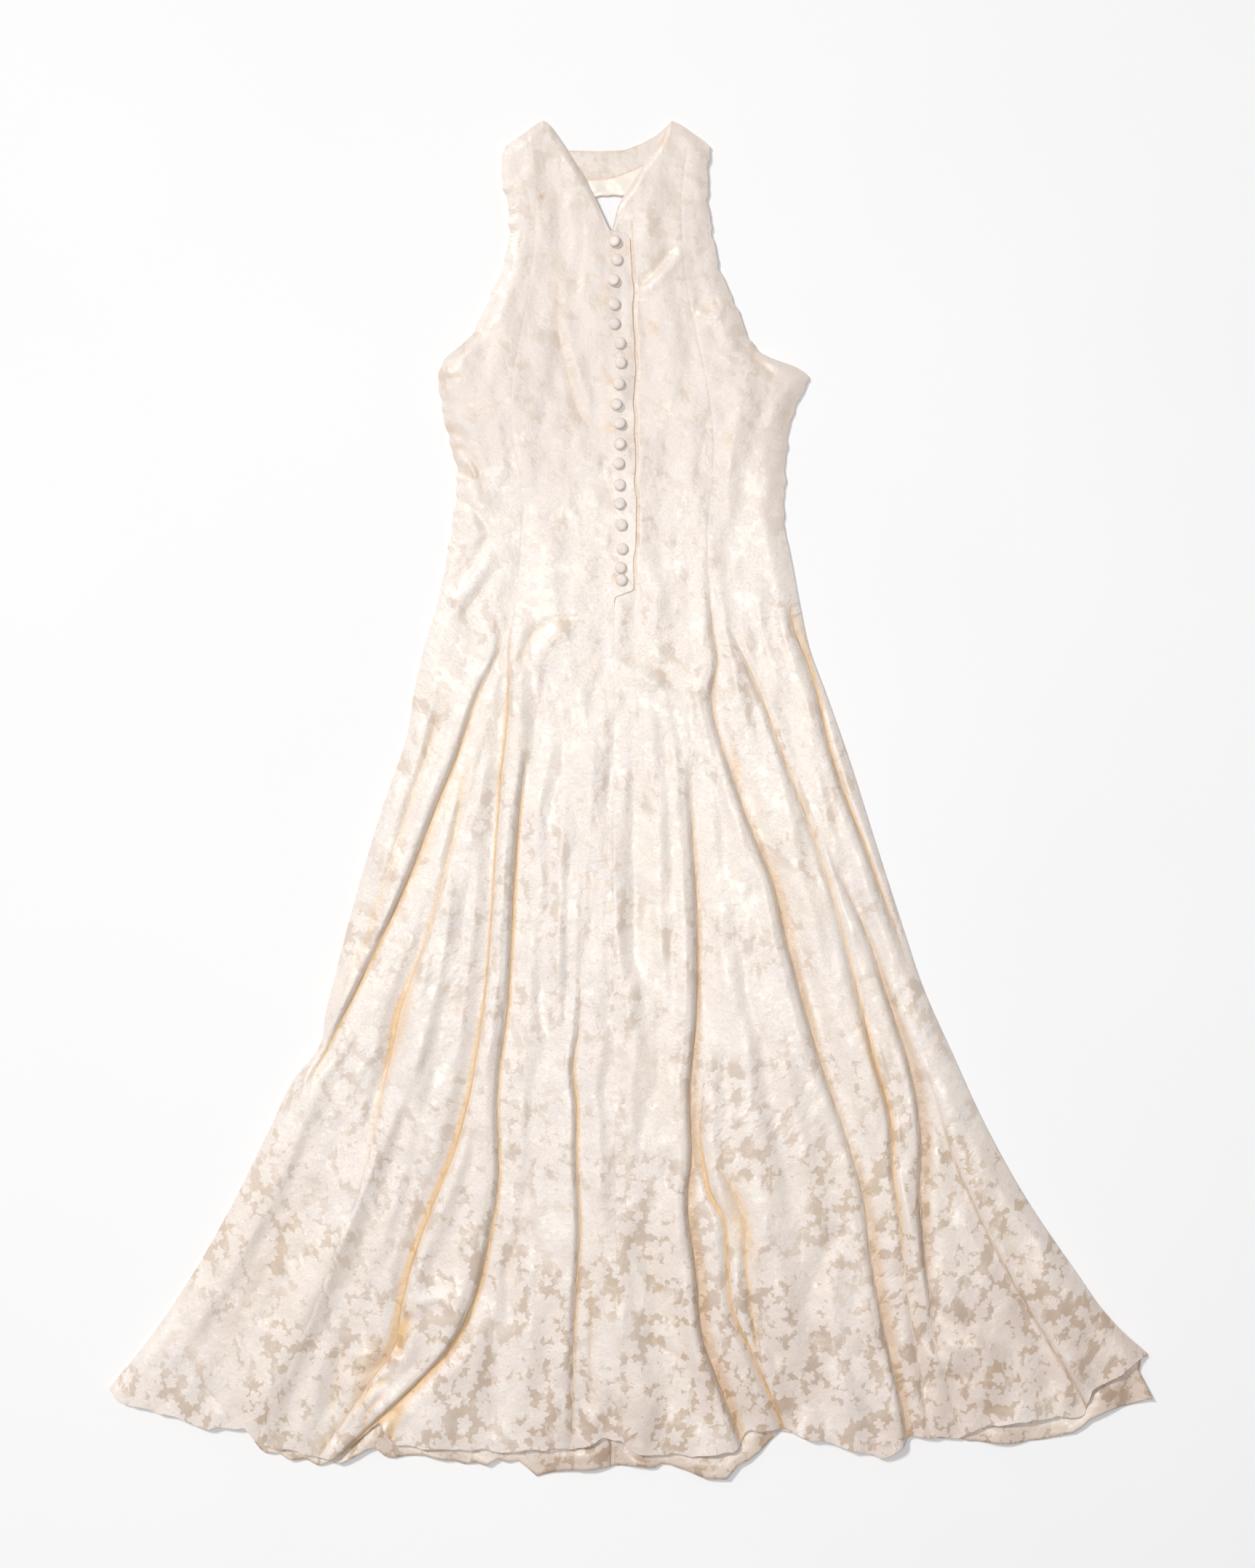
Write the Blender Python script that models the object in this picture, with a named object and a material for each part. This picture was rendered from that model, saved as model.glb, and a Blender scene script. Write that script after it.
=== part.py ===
"""A sleeveless princess-line gown of cream jacquard, laid out flat on its back, front side up.

X runs across the gown, Y from hem to shoulders, Z up off the surface it lies on. The origin is
the middle of the gown's outline, on that surface. Left and right are as seen from above, so the
left side is the wearer's right. All sizes here are millimetres; the meshes are in metres.

The four front pieces are cut from one folded surface, front_surface(x, y). Each deep fold is a
row of CREASES: a line from hip to hem where one layer rolls over and the next one lies lower.
"""
import math
from collections import namedtuple

import bmesh
import bpy
import numpy as np

MM = 0.001

# Cloth: the front is one figured silk layer, the back is silk and its lining
FRONT_WALL = 1.2
BACK_WALL = 2.0
NECK_WALL = 1.0
SEAM_GAP = 0.3
LAYER_GAP = 0.4

# Heights of the front's outer face above the surface that the gown lies on
CREASE_HEIGHT = BACK_WALL + LAYER_GAP + FRONT_WALL
EDGE_HEIGHT = CREASE_HEIGHT + 0.2
NECK_EDGE_HEIGHT = BACK_WALL + SEAM_GAP + NECK_WALL + LAYER_GAP + FRONT_WALL + 0.2
EDGE_ROUND = 12.0
NECK_ROUND = 8.0
ARMHOLE_RISE = (440.0, 560.0)

# How a rolled layer stands at a crease
ROLL_WIDTH = 5.0
LIP_PLACE = 4.5
LIP_WIDTH = 3.2
SWELL_PLACE = 12.0
SWELL_WIDTH = 10.0

# Buttons: cloth-covered domes
BUTTON_RADIUS = 6.6
BUTTON_SIDES = 10
BUTTON_PROFILE = ((5.4, 0.0), (BUTTON_RADIUS, 1.6), (5.3, 3.9), (2.8, 5.0))
BUTTON_TOP = 5.3

# The right front lies under the left one along the buttons
UNDERLAP_EDGE = -23.0
UNDERLAP_DROP = FRONT_WALL + 0.6
UNDERLAP_RAMP = 5.0
UNDERLAP_TOP = (662.0, 642.0)
UNDERLAP_FOOT = (226.0, 212.0)
PLACKET_FOOT = (236.0, 228.0)
OVERLAP_RISE = (-45.0, -25.0)

# The back opening below the neck: straight at the top, drawn to a point behind the buttons
KEYHOLE_MIDDLE = -22.0
KEYHOLE_TOP = 680.0
KEYHOLE_FOOT = 540.0
KEYHOLE_HALF_WIDTH = 24.0
KEYHOLE_STEPS = 9

# Side outline of the gown: (y, x)
LEFT_EDGE = (
    (765, -142), (735, -141), (713, -145), (664, -137), (635, -136), (615, -139), (566, -158),
    (516, -186), (500, -204), (488, -214), (467, -215), (418, -207), (369, -195), (320, -199),
    (270, -207), (221, -217), (172, -232), (123, -243), (74, -251), (0, -276), (-98, -306),
    (-197, -332), (-246, -344), (-270, -347), (-287, -356), (-307, -373), (-369, -405),
    (-467, -454), (-566, -513), (-615, -548), (-662, -586), (-720, -632))
RIGHT_EDGE = (
    (765, 91), (735, 89), (672, 87), (631, 93), (598, 100), (557, 118), (516, 136), (504, 145),
    (497, 159), (488, 185), (480, 198), (467, 197), (434, 182), (410, 177), (344, 173), (320, 172),
    (262, 182), (213, 191), (172, 200), (123, 218), (49, 244), (-49, 275), (-148, 307),
    (-205, 326), (-287, 362), (-369, 400), (-451, 446), (-533, 502), (-574, 531), (-598, 553),
    (-622, 580), (-680, 640))

# Princess seams from shoulder to hem, which run in the two longest creases below the hip. Rows
# as in a crease: (y, x, depth 0 to 1)
LEFT_SEAM = (
    (765, -119, 0), (734, -114, 0), (670, -107, 0), (631, -108, 0), (574, -114, 0),
    (525, -123, 0), (475, -132, 0), (426, -134, 0), (377, -127, 0), (334, -121, 0),
    (287, -123, 0), (234, -127, 0), (178, -135, .3), (102, -138, .8), (20, -146, .9),
    (-62, -152, .8), (-143, -157, .8), (-213, -163, .85), (-279, -172, .9), (-336, -182, .95),
    (-389, -196, 1), (-463, -225, 1), (-525, -247, 1), (-574, -258, 1), (-615, -266, .8),
    (-652, -291, .5), (-701, -325, .3), (-738, -350, .3))
RIGHT_SEAM = (
    (765, 68, 0), (734, 64, 0), (670, 57, 0), (631, 58, 0), (574, 64, 0), (525, 74, 0),
    (475, 85, 0), (426, 92, 0), (391, 94, 0), (307, 87, 0), (262, 87, .2), (189, 93, .5),
    (149, 97, .7), (127, 92, .9), (111, 91, .8), (66, 101, .7), (27, 114, .8), (-37, 137, .9),
    (-90, 159, 1), (-148, 173, 1), (-217, 191, 1), (-295, 213, .9), (-369, 239, .6),
    (-447, 261, .8), (-516, 270, .9), (-582, 282, .9), (-643, 296, .9), (-701, 308, .9),
    (-738, 312, .9))

# Edge of the buttoned overlap, and the seam below it: (y, x)
PLACKET_EDGE = ((765, -3), (628, 0), (574, 2), (520, 4), (410, 4), (328, 6), (236, 3))
FRONT_SEAM = ((228, -18), (-61, -19), (-328, -18), (-574, -14), (-738, -7))

# Shoulders, neck and hem, read across the gown: (x, y)
FRONT_TOP_LEFT = (
    (-145, 733), (-141, 735), (-118, 751), (-108, 759), (-98, 765), (-91, 760), (-79, 743),
    (-67, 725), (-58, 711), (-49, 698), (-40, 679), (-32, 659), (-23, 639), (-17, 638.5),
    (-7, 638), (-2, 634), (1, 628))
FRONT_TOP_RIGHT = (
    (-23, 633), (-21, 639), (-14, 669), (-4, 685), (15, 715), (34, 742), (41, 756), (45, 765),
    (56, 760), (66, 753), (86, 739), (91, 733))
FRONT_HEM = (
    (-586, -662), (-574, -676), (-541, -685), (-500, -697), (-477, -707), (-432, -705),
    (-422, -719), (-403, -728), (-358, -736), (-337, -740), (-321, -737), (-300, -715),
    (-282, -697), (-275, -711), (-267, -724), (-239, -728), (-186, -730), (-136, -732),
    (-63, -728), (-42, -725), (-33, -719), (-9, -718), (-2, -730), (15, -736), (97, -736),
    (119, -730), (127, -717), (129, -710), (173, -706), (191, -716), (224, -721), (245, -730),
    (269, -736), (286, -738), (303, -730), (311, -716), (370, -716), (392, -707), (417, -701),
    (470, -695), (513, -691), (516, -664), (536, -655), (556, -641), (580, -622))

# The back's own edges where they leave the front's outline: (x, y)
BACK_NECK = ((-79, 740), (-71, 730), (-37, 729), (-9, 730), (3, 734), (15, 740), (32, 750), (44, 762))
BACK_HEM = (
    (-579, -661), (-500, -689), (-423, -703), (-337, -723), (-268, -720), (-186, -728),
    (-124, -734), (-116, -750), (-106, -763), (-87, -756), (-43, -753), (3, -748), (26, -752),
    (36, -746), (60, -754), (82, -762), (109, -764.5), (119, -749), (142, -738), (150, -728),
    (171, -707), (201, -724), (229, -717), (273, -725), (306, -716), (370, -719), (417, -725),
    (462, -720), (503, -711), (513, -697), (542, -686), (586.5, -673))
BACK_RIGHT_TIP = ((572, -643), (575, -627))
BACK_INSET = 2.5

# Facing and lining inside the back neck, seen through the open neck: (x, y)
FACING_TOP = ((-85, 729), (-71, 731), (-37, 730), (-9, 731), (3, 735), (15, 741), (33, 751))
FACING_FOOT = ((-85, 701), (-63, 699), (-50, 698), (-30, 698), (-14, 702), (1, 708), (33, 723))
LINING_FOOT = ((-85, 681), (-50, 680.5), (-40, 680), (-14, 680.5), (1, 684), (15, 687), (33, 690))
NECK_COLUMNS = 10

# Button centres down the overlap: (x, y)
BUTTONS = (
    (-18, 628), (-15, 607), (-19, 584), (-18, 557), (-18, 535), (-12, 513), (-11, 491), (-13, 467),
    (-16, 444), (-12, 423), (-12, 400), (-13, 378), (-12, 354), (-12, 333), (-10, 309), (-9, 282),
    (-11, 261), (-10, 247))

# Height of the puffed front between its edges: (y, height)
REST_HEIGHT = (
    (765, 8.5), (650, 9), (500, 10), (380, 10), (300, 9.5), (200, 10.5), (80, 12), (-150, 13),
    (-500, 13), (-660, 12), (-740, 11))

# Soft swells of the bust and hips: x, y, half width, half length, rise
Swell = namedtuple("Swell", "x y half_width half_length rise")
SWELLS = (
    Swell(-150, 470, 45, 75, 4.0),
    Swell(115, 455, 50, 80, 4.5),
    Swell(-85, 180, 50, 60, 2.0),
    Swell(40, 150, 55, 60, 2.0),
    Swell(-25, -250, 45, 320, 2.5),
    Swell(150, -330, 45, 260, 2.5),
    Swell(-210, -300, 40, 260, 2.5),
)

# A crease: upper_side says which layer rolls over it, -1 the left one and 1 the right one; reach
# is how far the lower layer takes to rise again; lean is how far the roll hangs over; rise is the
# swell of the roll; share is where its line goes on across the bodice. Rows: (y, x, depth 0 to 1)
Crease = namedtuple("Crease", "name upper_side reach lean rise share rows")
LEFT_OUTER = Crease(
    "left outer", -1, 26, 5.0, 3.0, 0.55,
    ((205, -151, 0), (184, -146, .3), (115, -173, .8), (49, -195, 1), (-15, -221, 1),
     (-78, -245, 1), (-162, -283, 1), (-246, -324, 1), (-287, -345, .9), (-307, -356, .5),
     (-344, -362, 0), (-492, -395, 0), (-639, -460, 0), (-720, -500, 0)))
LEFT_INNER = Crease(
    "left inner", 1, 20, 4.0, 2.0, 0.8,
    ((200, -141, 0), (115, -156, 0), (20, -177, .15), (-66, -204, .3), (-115, -218, .3),
     (-172, -236, .4), (-207, -248, .8), (-234, -258, 1), (-287, -269, 1), (-352, -284, .6),
     (-426, -300, .3), (-500, -329, .35), (-578, -359, .5), (-656, -392, .3), (-740, -430, .2)))
LEFT_SEAM_CREASE = Crease("left seam", 1, 24, 5.0, 4.0, 1.0, LEFT_SEAM)
ROLL_EDGE = Crease(
    "roll edge", -1, 30, 5.0, 4.0, 0.25,
    ((61, -116, 0), (41, -118, .5), (-33, -126, 1), (-131, -132, 1), (-238, -138, .85),
     (-307, -147, .8), (-352, -149, .7), (-426, -148, .8), (-496, -159, .9), (-570, -179, 1),
     (-615, -203, 1), (-657, -241, 1), (-695, -282, 1), (-736, -325, 1)))
MIDDLE = Crease(
    "middle", -1, 30, 4.0, 1.5, 0.6,
    ((41, -63, 0), (-41, -58, .2), (-123, -54, .3), (-205, -55, .35), (-262, -59, .4),
     (-300, -64, .8), (-340, -61, 1), (-418, -60, .8), (-467, -57, .8), (-574, -62, .8),
     (-664, -65, .45), (-740, -67, .25)))
RIGHT_MIDDLE = Crease(
    "right middle", -1, 30, 6.0, 4.0, 0.7,
    ((60, 68, 0), (25, 67, .3), (-41, 70, .8), (-115, 74, 1), (-242, 74, 1), (-328, 67, 1),
     (-410, 68, 1), (-443, 64, 1), (-480, 66, 1), (-525, 73, 1), (-607, 82, 1), (-643, 94, 1),
     (-676, 107, 1), (-707, 119, 1), (-738, 129, 1)))
RIGHT_BRANCH = Crease(
    "right branch", 1, 12, 3.0, 2.0, 0.86,
    ((-200, 105, 0), (-300, 84, 0), (-352, 78, .4), (-385, 79, .8), (-414, 84, .9),
     (-443, 91, .9), (-471, 106, .8), (-504, 109, .8), (-578, 117, .8), (-627, 139, .8),
     (-680, 162, .9), (-738, 186, .9)))
RIGHT_SEAM_CREASE = Crease("right seam", -1, 30, 6.0, 4.0, 1.0, RIGHT_SEAM)
RIGHT_SHARP = Crease(
    "right sharp", -1, 9, 3.0, 1.0, 0.2,
    ((201, 107, 0), (157, 129, .6), (123, 144, .7), (56, 169, .7), (-25, 200, .6),
     (-117, 230, .6), (-207, 253, .7), (-287, 273, .9), (-352, 291, .9), (-418, 295, .8),
     (-484, 304, .6), (-541, 310, .3), (-656, 327, .3), (-740, 338, .2)))
RIGHT_DROP = Crease(
    "right drop", -1, 22, 5.0, 3.0, 0.5,
    ((-30, 212, 0), (-89, 237, .4), (-146, 263, .8), (-221, 288, 1), (-303, 314, 1),
     (-377, 326, 1), (-451, 325, 1), (-525, 332, .9), (-553, 336, .6), (-607, 341, .25),
     (-656, 355, .2), (-740, 378, .2)))
RIGHT_LOW = Crease(
    "right low", 1, 26, 4.0, 3.0, 0.66,
    ((0, 224, 0), (-100, 262, 0), (-200, 298, 0), (-291, 326, 0), (-336, 343, .4),
     (-395, 360, .9), (-466, 391, 1), (-533, 425, 1), (-613, 472, 1), (-666, 504, 1),
     (-740, 540, 1)))
RIGHT_OUTER = Crease(
    "right outer", -1, 10, 3.0, 2.0, 0.86,
    ((225, 180, 0), (207, 180, .8), (160, 197, 1), (115, 211, 1), (66, 222, 1), (8, 240, 1),
     (-45, 261, 1), (-98, 280, .9), (-148, 298, .7), (-180, 308, .2), (-201, 313, 0),
     (-336, 372, 0), (-533, 472, 0), (-720, 600, 0)))
CREASES = (
    LEFT_OUTER, LEFT_INNER, LEFT_SEAM_CREASE, ROLL_EDGE, MIDDLE, RIGHT_MIDDLE, RIGHT_BRANCH,
    RIGHT_SEAM_CREASE, RIGHT_SHARP, RIGHT_DROP, RIGHT_LOW, RIGHT_OUTER)
SHARE_FADE = 90.0

# Rows of the front pieces: shares of the way from the top edge, heights, shares down to the hem
UPPER_SHARES = (0.0, 0.15, 0.38, 0.62, 0.83)
MIDDLE_HEIGHTS = (
    508, 492, 476, 440, 385, 330, 280, 236, 228, 184, 139, 90, 41, -20, -80, -140, -195, -246,
    -285, -307, -350, -410, -470, -525, -574)
LOWER_SHARES = (0.35, 0.68, 0.88, 1.0)
TOP_GUESS = 720.0
HEM_GUESS = -660.0
EDGE_STEPS = 40

# Columns of the front pieces: distances from a crease or edge
UPPER_COLUMNS = (5.0, 13.0)
LOWER_COLUMNS = (7.0, 18.0)
EDGE_COLUMNS = (3.5, 11.0)
SEAM_COLUMNS = (6.0,)
LEAST_MIDDLE = 4.0

# Colours from the photo, as red, green, blue
FIGURED_SILK = (0.86, 0.78, 0.68)
SATIN_LINING = (0.93, 0.87, 0.80)
COVERED_BUTTON = (0.80, 0.76, 0.71)


def curve(rows, at, column=1):
    """Smooth curve through a table whose first column falls, read at the heights `at`."""
    table = np.array(rows, dtype=float)[::-1]
    knots, values = table[:, 0], table[:, column]
    slopes = np.gradient(values, knots)
    at = np.clip(at, knots[0], knots[-1])
    k = np.clip(np.searchsorted(knots, at) - 1, 0, len(knots) - 2)
    span = knots[k + 1] - knots[k]
    t = (at - knots[k]) / span
    start, end = values[k], values[k + 1]
    return ((1 + 2 * t) * (1 - t) ** 2 * start + t * (1 - t) ** 2 * span * slopes[k]
            + t * t * (3 - 2 * t) * end - t * t * (1 - t) * span * slopes[k + 1])


def straight(rows, at):
    """Straight runs through a table whose first column rises, read at `at`."""
    table = np.array(rows, dtype=float)
    return np.interp(at, table[:, 0], table[:, 1])


def ramp(value, start, end):
    """0 at start, 1 at end, and a smooth S between."""
    t = np.clip((value - start) / (end - start), 0.0, 1.0)
    return t * t * (3 - 2 * t)


def left_edge(y):
    return curve(LEFT_EDGE, y)


def right_edge(y):
    return curve(RIGHT_EDGE, y)


def left_seam(y):
    return curve(LEFT_SEAM, y)


def right_seam(y):
    return curve(RIGHT_SEAM, y)


def overlap_edge(y):
    """Right edge of the left front: the button overlap, its slanting foot, then the seam."""
    y = np.asarray(y, dtype=float)
    above = curve(PLACKET_EDGE, np.maximum(y, PLACKET_FOOT[0]))
    below = curve(FRONT_SEAM, np.minimum(y, PLACKET_FOOT[1]))
    slant = np.clip((y - PLACKET_FOOT[1]) / (PLACKET_FOOT[0] - PLACKET_FOOT[1]), 0.0, 1.0)
    return below + (above - below) * slant


def underlap_edge(y):
    """Left edge of the right front: hidden under the buttons, then the seam below them."""
    y = np.asarray(y, dtype=float)
    seam = curve(FRONT_SEAM, np.minimum(y, PLACKET_FOOT[1])) + SEAM_GAP
    return np.where(y > PLACKET_FOOT[1] + 1.0, UNDERLAP_EDGE, seam)


def placket_line(y):
    """Line where the right front dives under the overlap."""
    return curve(PLACKET_EDGE, np.maximum(y, PLACKET_FOOT[0])) + 1.0


def panel_sides(crease):
    """The two lines between which a crease's line keeps its share above the hip."""
    if crease in (LEFT_OUTER, LEFT_INNER):
        return left_edge, left_seam
    if crease in (ROLL_EDGE, MIDDLE):
        return left_seam, overlap_edge
    if crease in (RIGHT_MIDDLE, RIGHT_BRANCH):
        return placket_line, right_seam
    return right_seam, right_edge


def crease_line(crease, y):
    """Where a crease runs; above its first row it eases over to its share of the piece."""
    first, place = crease.rows[0][:2]
    left, right = panel_sides(crease)
    above = np.maximum(y, first)
    shared = left(above) + crease.share * (right(above) - left(above))
    start = left(first) + crease.share * (right(first) - left(first))
    eased = shared + (place - start) * (1 - ramp(above, first, first + SHARE_FADE))
    return np.where(y > first, eased, curve(crease.rows, np.minimum(y, first)))


def crease_depth(crease, y):
    """Depth of a crease from 0 to 1 along its length."""
    first = crease.rows[0][0]
    depth = np.interp(-np.asarray(y, dtype=float), [-row[0] for row in crease.rows],
                      [row[2] for row in crease.rows])
    return np.where(y > first, 0.0, depth)


def rest_height(x, y):
    """Height of the puffed cloth before creases: the middle rise and the soft swells."""
    height = curve(REST_HEIGHT, y)
    for swell in SWELLS:
        away = ((x - swell.x) / swell.half_width) ** 2 + ((y - swell.y) / swell.half_length) ** 2
        height = height + swell.rise * np.exp(-away)
    return height


def front_surface(x, y, top_edge):
    """Outer face of the whole front over the plan place (x, y), as an array of x, y, z.

    Every crease pulls the height down to CREASE_HEIGHT: over ROLL_WIDTH on the side of the
    upper layer, whose lip leans out over it, and over its reach on the lower layer's side.
    """
    height = rest_height(x, y)
    kept = np.ones_like(height)
    shift = np.zeros_like(height)
    for crease in CREASES:
        depth = crease_depth(crease, y)
        over = (x - crease_line(crease, y)) * crease.upper_side
        width = np.where(over > 0, ROLL_WIDTH, crease.reach)
        drop = 0.5 + 0.5 * np.cos(math.pi * np.clip(np.abs(over) / width, 0.0, 1.0))
        kept = kept * (1 - depth * drop)
        height = height + crease.rise * depth * np.exp(-((over - SWELL_PLACE) / SWELL_WIDTH) ** 2)
        lip = np.exp(-((over - LIP_PLACE) / LIP_WIDTH) ** 2)
        shift = shift - crease.upper_side * crease.lean * depth * lip
    z = CREASE_HEIGHT + (height - CREASE_HEIGHT) * kept
    inside = np.minimum(x - left_edge(y), right_edge(y) - x)
    side = EDGE_HEIGHT + (NECK_EDGE_HEIGHT - EDGE_HEIGHT) * ramp(y, *ARMHOLE_RISE)
    z = side + (z - side) * rounded(inside / EDGE_ROUND)
    shift = shift * ramp(inside, 0.0, EDGE_ROUND)
    near_edge = 1 - rounded((straight(top_edge, x) - y) / NECK_ROUND)
    if top_edge is FRONT_TOP_LEFT:
        near_edge = near_edge * (1 - ramp(x, *OVERLAP_RISE))
    z = z + (NECK_EDGE_HEIGHT - z) * near_edge
    return np.stack([x + shift, y + np.zeros_like(x), z], axis=-1)


def rounded(share):
    """Quarter circle: 0 at an edge, 1 from one rounding away."""
    share = np.clip(share, 0.0, 1.0)
    return np.sqrt(1 - (1 - share) ** 2)


def under_overlap(points):
    """Lower the right front where it passes under the buttoned overlap."""
    x, y = points[..., 0], points[..., 1]
    across = 1 - ramp(x, placket_line(y), placket_line(y) + UNDERLAP_RAMP)
    along = ramp(y, UNDERLAP_TOP[0], UNDERLAP_TOP[1]) * (1 - ramp(y, *UNDERLAP_FOOT))
    lowered = points.copy()
    lowered[..., 2] -= UNDERLAP_DROP * across * along
    return lowered


def columns_between(left, right, beside_left, beside_right):
    """Columns after the line `left`: near it, one in the middle, then near the line `right`."""
    gap = right - left
    wanted = max(beside_left, default=0.0) + max(beside_right, default=0.0) + LEAST_MIDDLE
    scale = np.minimum(1.0, gap / wanted)
    near_left = [left + scale * distance for distance in beside_left]
    near_right = [right - scale * distance for distance in reversed(beside_right)]
    first = near_left[-1] if near_left else left
    last = near_right[0] if near_right else right
    return near_left + [(first + last) / 2] + near_right


def beside(crease, side):
    """Column distances on one side of a crease: close together on its rolled layer."""
    return UPPER_COLUMNS if crease.upper_side == side else LOWER_COLUMNS


def piece_columns(lines, y):
    """All columns of a piece at the heights y. Lines: (line of y, left distances, right ones)."""
    places = [line(y) for line, _, _ in lines]
    columns = [places[0]]
    for k in range(len(lines) - 1):
        columns += columns_between(places[k], places[k + 1], lines[k][2], lines[k + 1][1])
        columns.append(places[k + 1])
    return np.stack(columns, axis=-1)


def own_places(lines, y):
    """x of each column at its own height; the last axis of y has one height for each column."""
    places = piece_columns(lines, y.ravel())
    item = np.arange(y.size)
    return places[item, item % y.shape[-1]].reshape(y.shape)


def meet_edge(lines, edge, start):
    """Height at which each column meets an edge table (x, y), found by stepping towards it."""
    count = piece_columns(lines, np.array([start])).shape[-1]
    heights = np.full(count, float(start))
    for _ in range(EDGE_STEPS):
        heights = (heights + straight(edge, own_places(lines, heights))) / 2
    return heights


def piece_plan(lines, top_edge, hem):
    """Plan places x, y of a front piece, as rows from its top edge to its hem."""
    top = meet_edge(lines, top_edge, TOP_GUESS)
    foot = meet_edge(lines, hem, HEM_GUESS)
    knee, ankle = MIDDLE_HEIGHTS[0], MIDDLE_HEIGHTS[-1]
    rows = [top + (knee - top) * share for share in UPPER_SHARES]
    rows += [np.full(len(top), float(height)) for height in MIDDLE_HEIGHTS]
    rows += [ankle + (foot - ankle) * share for share in LOWER_SHARES]
    y = np.array(rows)
    return own_places(lines, y), y


def solid_grid(outer, wall):
    """Closed wall under a grid of outer points: vertices, faces. Both faces share diagonals."""
    rows, columns = outer.shape[:2]
    normal = np.cross(np.gradient(outer, axis=0), np.gradient(outer, axis=1))
    normal /= np.linalg.norm(normal, axis=-1, keepdims=True)
    inner = outer - wall * normal
    vertices = np.concatenate([outer.reshape(-1, 3), inner.reshape(-1, 3)]) * MM
    index = np.arange(rows * columns).reshape(rows, columns)
    a, b = index[:-1, :-1].ravel(), index[1:, :-1].ravel()
    c, d = index[1:, 1:].ravel(), index[:-1, 1:].ravel()
    below = rows * columns
    triangles = np.concatenate([
        np.stack([a, b, c], 1), np.stack([a, c, d], 1),
        np.stack([c, b, a], 1) + below, np.stack([d, c, a], 1) + below])
    ring = np.concatenate([index[0, :-1], index[:-1, -1], index[-1, :0:-1], index[:0:-1, 0]])
    after = np.roll(ring, -1)
    walls = np.concatenate([
        np.stack([ring, after, after + below], 1), np.stack([ring, after + below, ring + below], 1)])
    return vertices.tolist(), np.concatenate([triangles, walls]).tolist()


def solid_outline(points, wall):
    """Flat piece of cloth from its outline (x, y), laid on the surface: vertices, faces."""
    sheet = bmesh.new()
    corners = [sheet.verts.new((x * MM, y * MM, 0.0)) for x, y in points]
    face = sheet.faces.new(corners)
    lifted = bmesh.ops.extrude_face_region(sheet, geom=[face])["geom"]
    for item in lifted:
        if isinstance(item, bmesh.types.BMVert):
            item.co.z = wall * MM
    bmesh.ops.triangulate(sheet, faces=sheet.faces[:])
    bmesh.ops.recalc_face_normals(sheet, faces=sheet.faces[:])
    sheet.verts.index_update()
    vertices = [tuple(vertex.co) for vertex in sheet.verts]
    faces = [[vertex.index for vertex in face.verts] for face in sheet.faces]
    sheet.free()
    return vertices, faces


def add_object(name, vertices, faces, material, smooth_angle=40.0):
    """One named object from vertices in metres, shaded smooth up to an angle."""
    mesh = bpy.data.meshes.new(name)
    mesh.from_pydata(vertices, [], faces)
    mesh.materials.append(material)
    mesh.shade_smooth()
    mesh.set_sharp_from_angle(angle=math.radians(smooth_angle))
    piece = bpy.data.objects.new(name, mesh)
    bpy.context.scene.collection.objects.link(piece)
    return piece


def cloth_material(name, colour, roughness):
    """Plain cloth or satin surface."""
    material = bpy.data.materials.new(name)
    material.use_nodes = True
    shader = material.node_tree.nodes["Principled BSDF"]
    shader.inputs["Base Color"].default_value = (*colour, 1.0)
    shader.inputs["Roughness"].default_value = roughness
    shader.inputs["Metallic"].default_value = 0.0
    return material


def crease_guide(crease):
    """A crease as a line of a piece, with the columns on each side of it."""
    return (lambda y: crease_line(crease, y)), beside(crease, -1), beside(crease, 1)


def moved(line, distance):
    """A line moved across by a distance, so that two pieces meet with a gap."""
    return lambda y: line(y) + distance


def front_pieces():
    """Name, guide lines and top edge of each piece of the front, from left to right."""
    half = SEAM_GAP / 2
    return (
        ("front_side_left", FRONT_TOP_LEFT, (
            (left_edge, (), EDGE_COLUMNS),
            crease_guide(LEFT_OUTER),
            crease_guide(LEFT_INNER),
            (moved(left_seam, -half), LOWER_COLUMNS, ()))),
        ("front_centre_left", FRONT_TOP_LEFT, (
            (moved(left_seam, half), (), UPPER_COLUMNS),
            crease_guide(ROLL_EDGE),
            crease_guide(MIDDLE),
            (overlap_edge, SEAM_COLUMNS, ()))),
        ("front_centre_right", FRONT_TOP_RIGHT, (
            (underlap_edge, (), ()),
            (placket_line, (), (UNDERLAP_RAMP,)),
            crease_guide(RIGHT_MIDDLE),
            crease_guide(RIGHT_BRANCH),
            (moved(right_seam, -half), UPPER_COLUMNS, ()))),
        ("front_side_right", FRONT_TOP_RIGHT, (
            (moved(right_seam, half), (), LOWER_COLUMNS),
            crease_guide(RIGHT_SHARP),
            crease_guide(RIGHT_DROP),
            crease_guide(RIGHT_LOW),
            crease_guide(RIGHT_OUTER),
            (right_edge, (EDGE_COLUMNS[0],), ()))),
    )


def build_front(material):
    """Four front pieces with their folds, the right centre passing under the overlap."""
    for name, top_edge, lines in front_pieces():
        x, y = piece_plan(lines, top_edge, FRONT_HEM)
        points = front_surface(x, y, top_edge)
        if name == "front_centre_right":
            points = under_overlap(points)
        vertices, faces = solid_grid(points, FRONT_WALL)
        add_object(name, vertices, faces, material)


def run_between(rows, low, high):
    """Points (x, y) of a table that lie between two x, with its ends cut exactly there."""
    inner = [(x, y) for x, y in rows if low + 1.0 < x < high - 1.0]
    return [(low, float(straight(rows, low)))] + inner + [(high, float(straight(rows, high)))]


def side_points(rows, top, foot, inset=0.0):
    """Points (x, y) down a side table between two heights, moved across by an inset."""
    heights = [top] + [row[0] for row in rows if foot + 5 < row[0] < top - 5] + [foot]
    return [(float(curve(rows, np.float64(y))) + inset, y) for y in heights]


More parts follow.
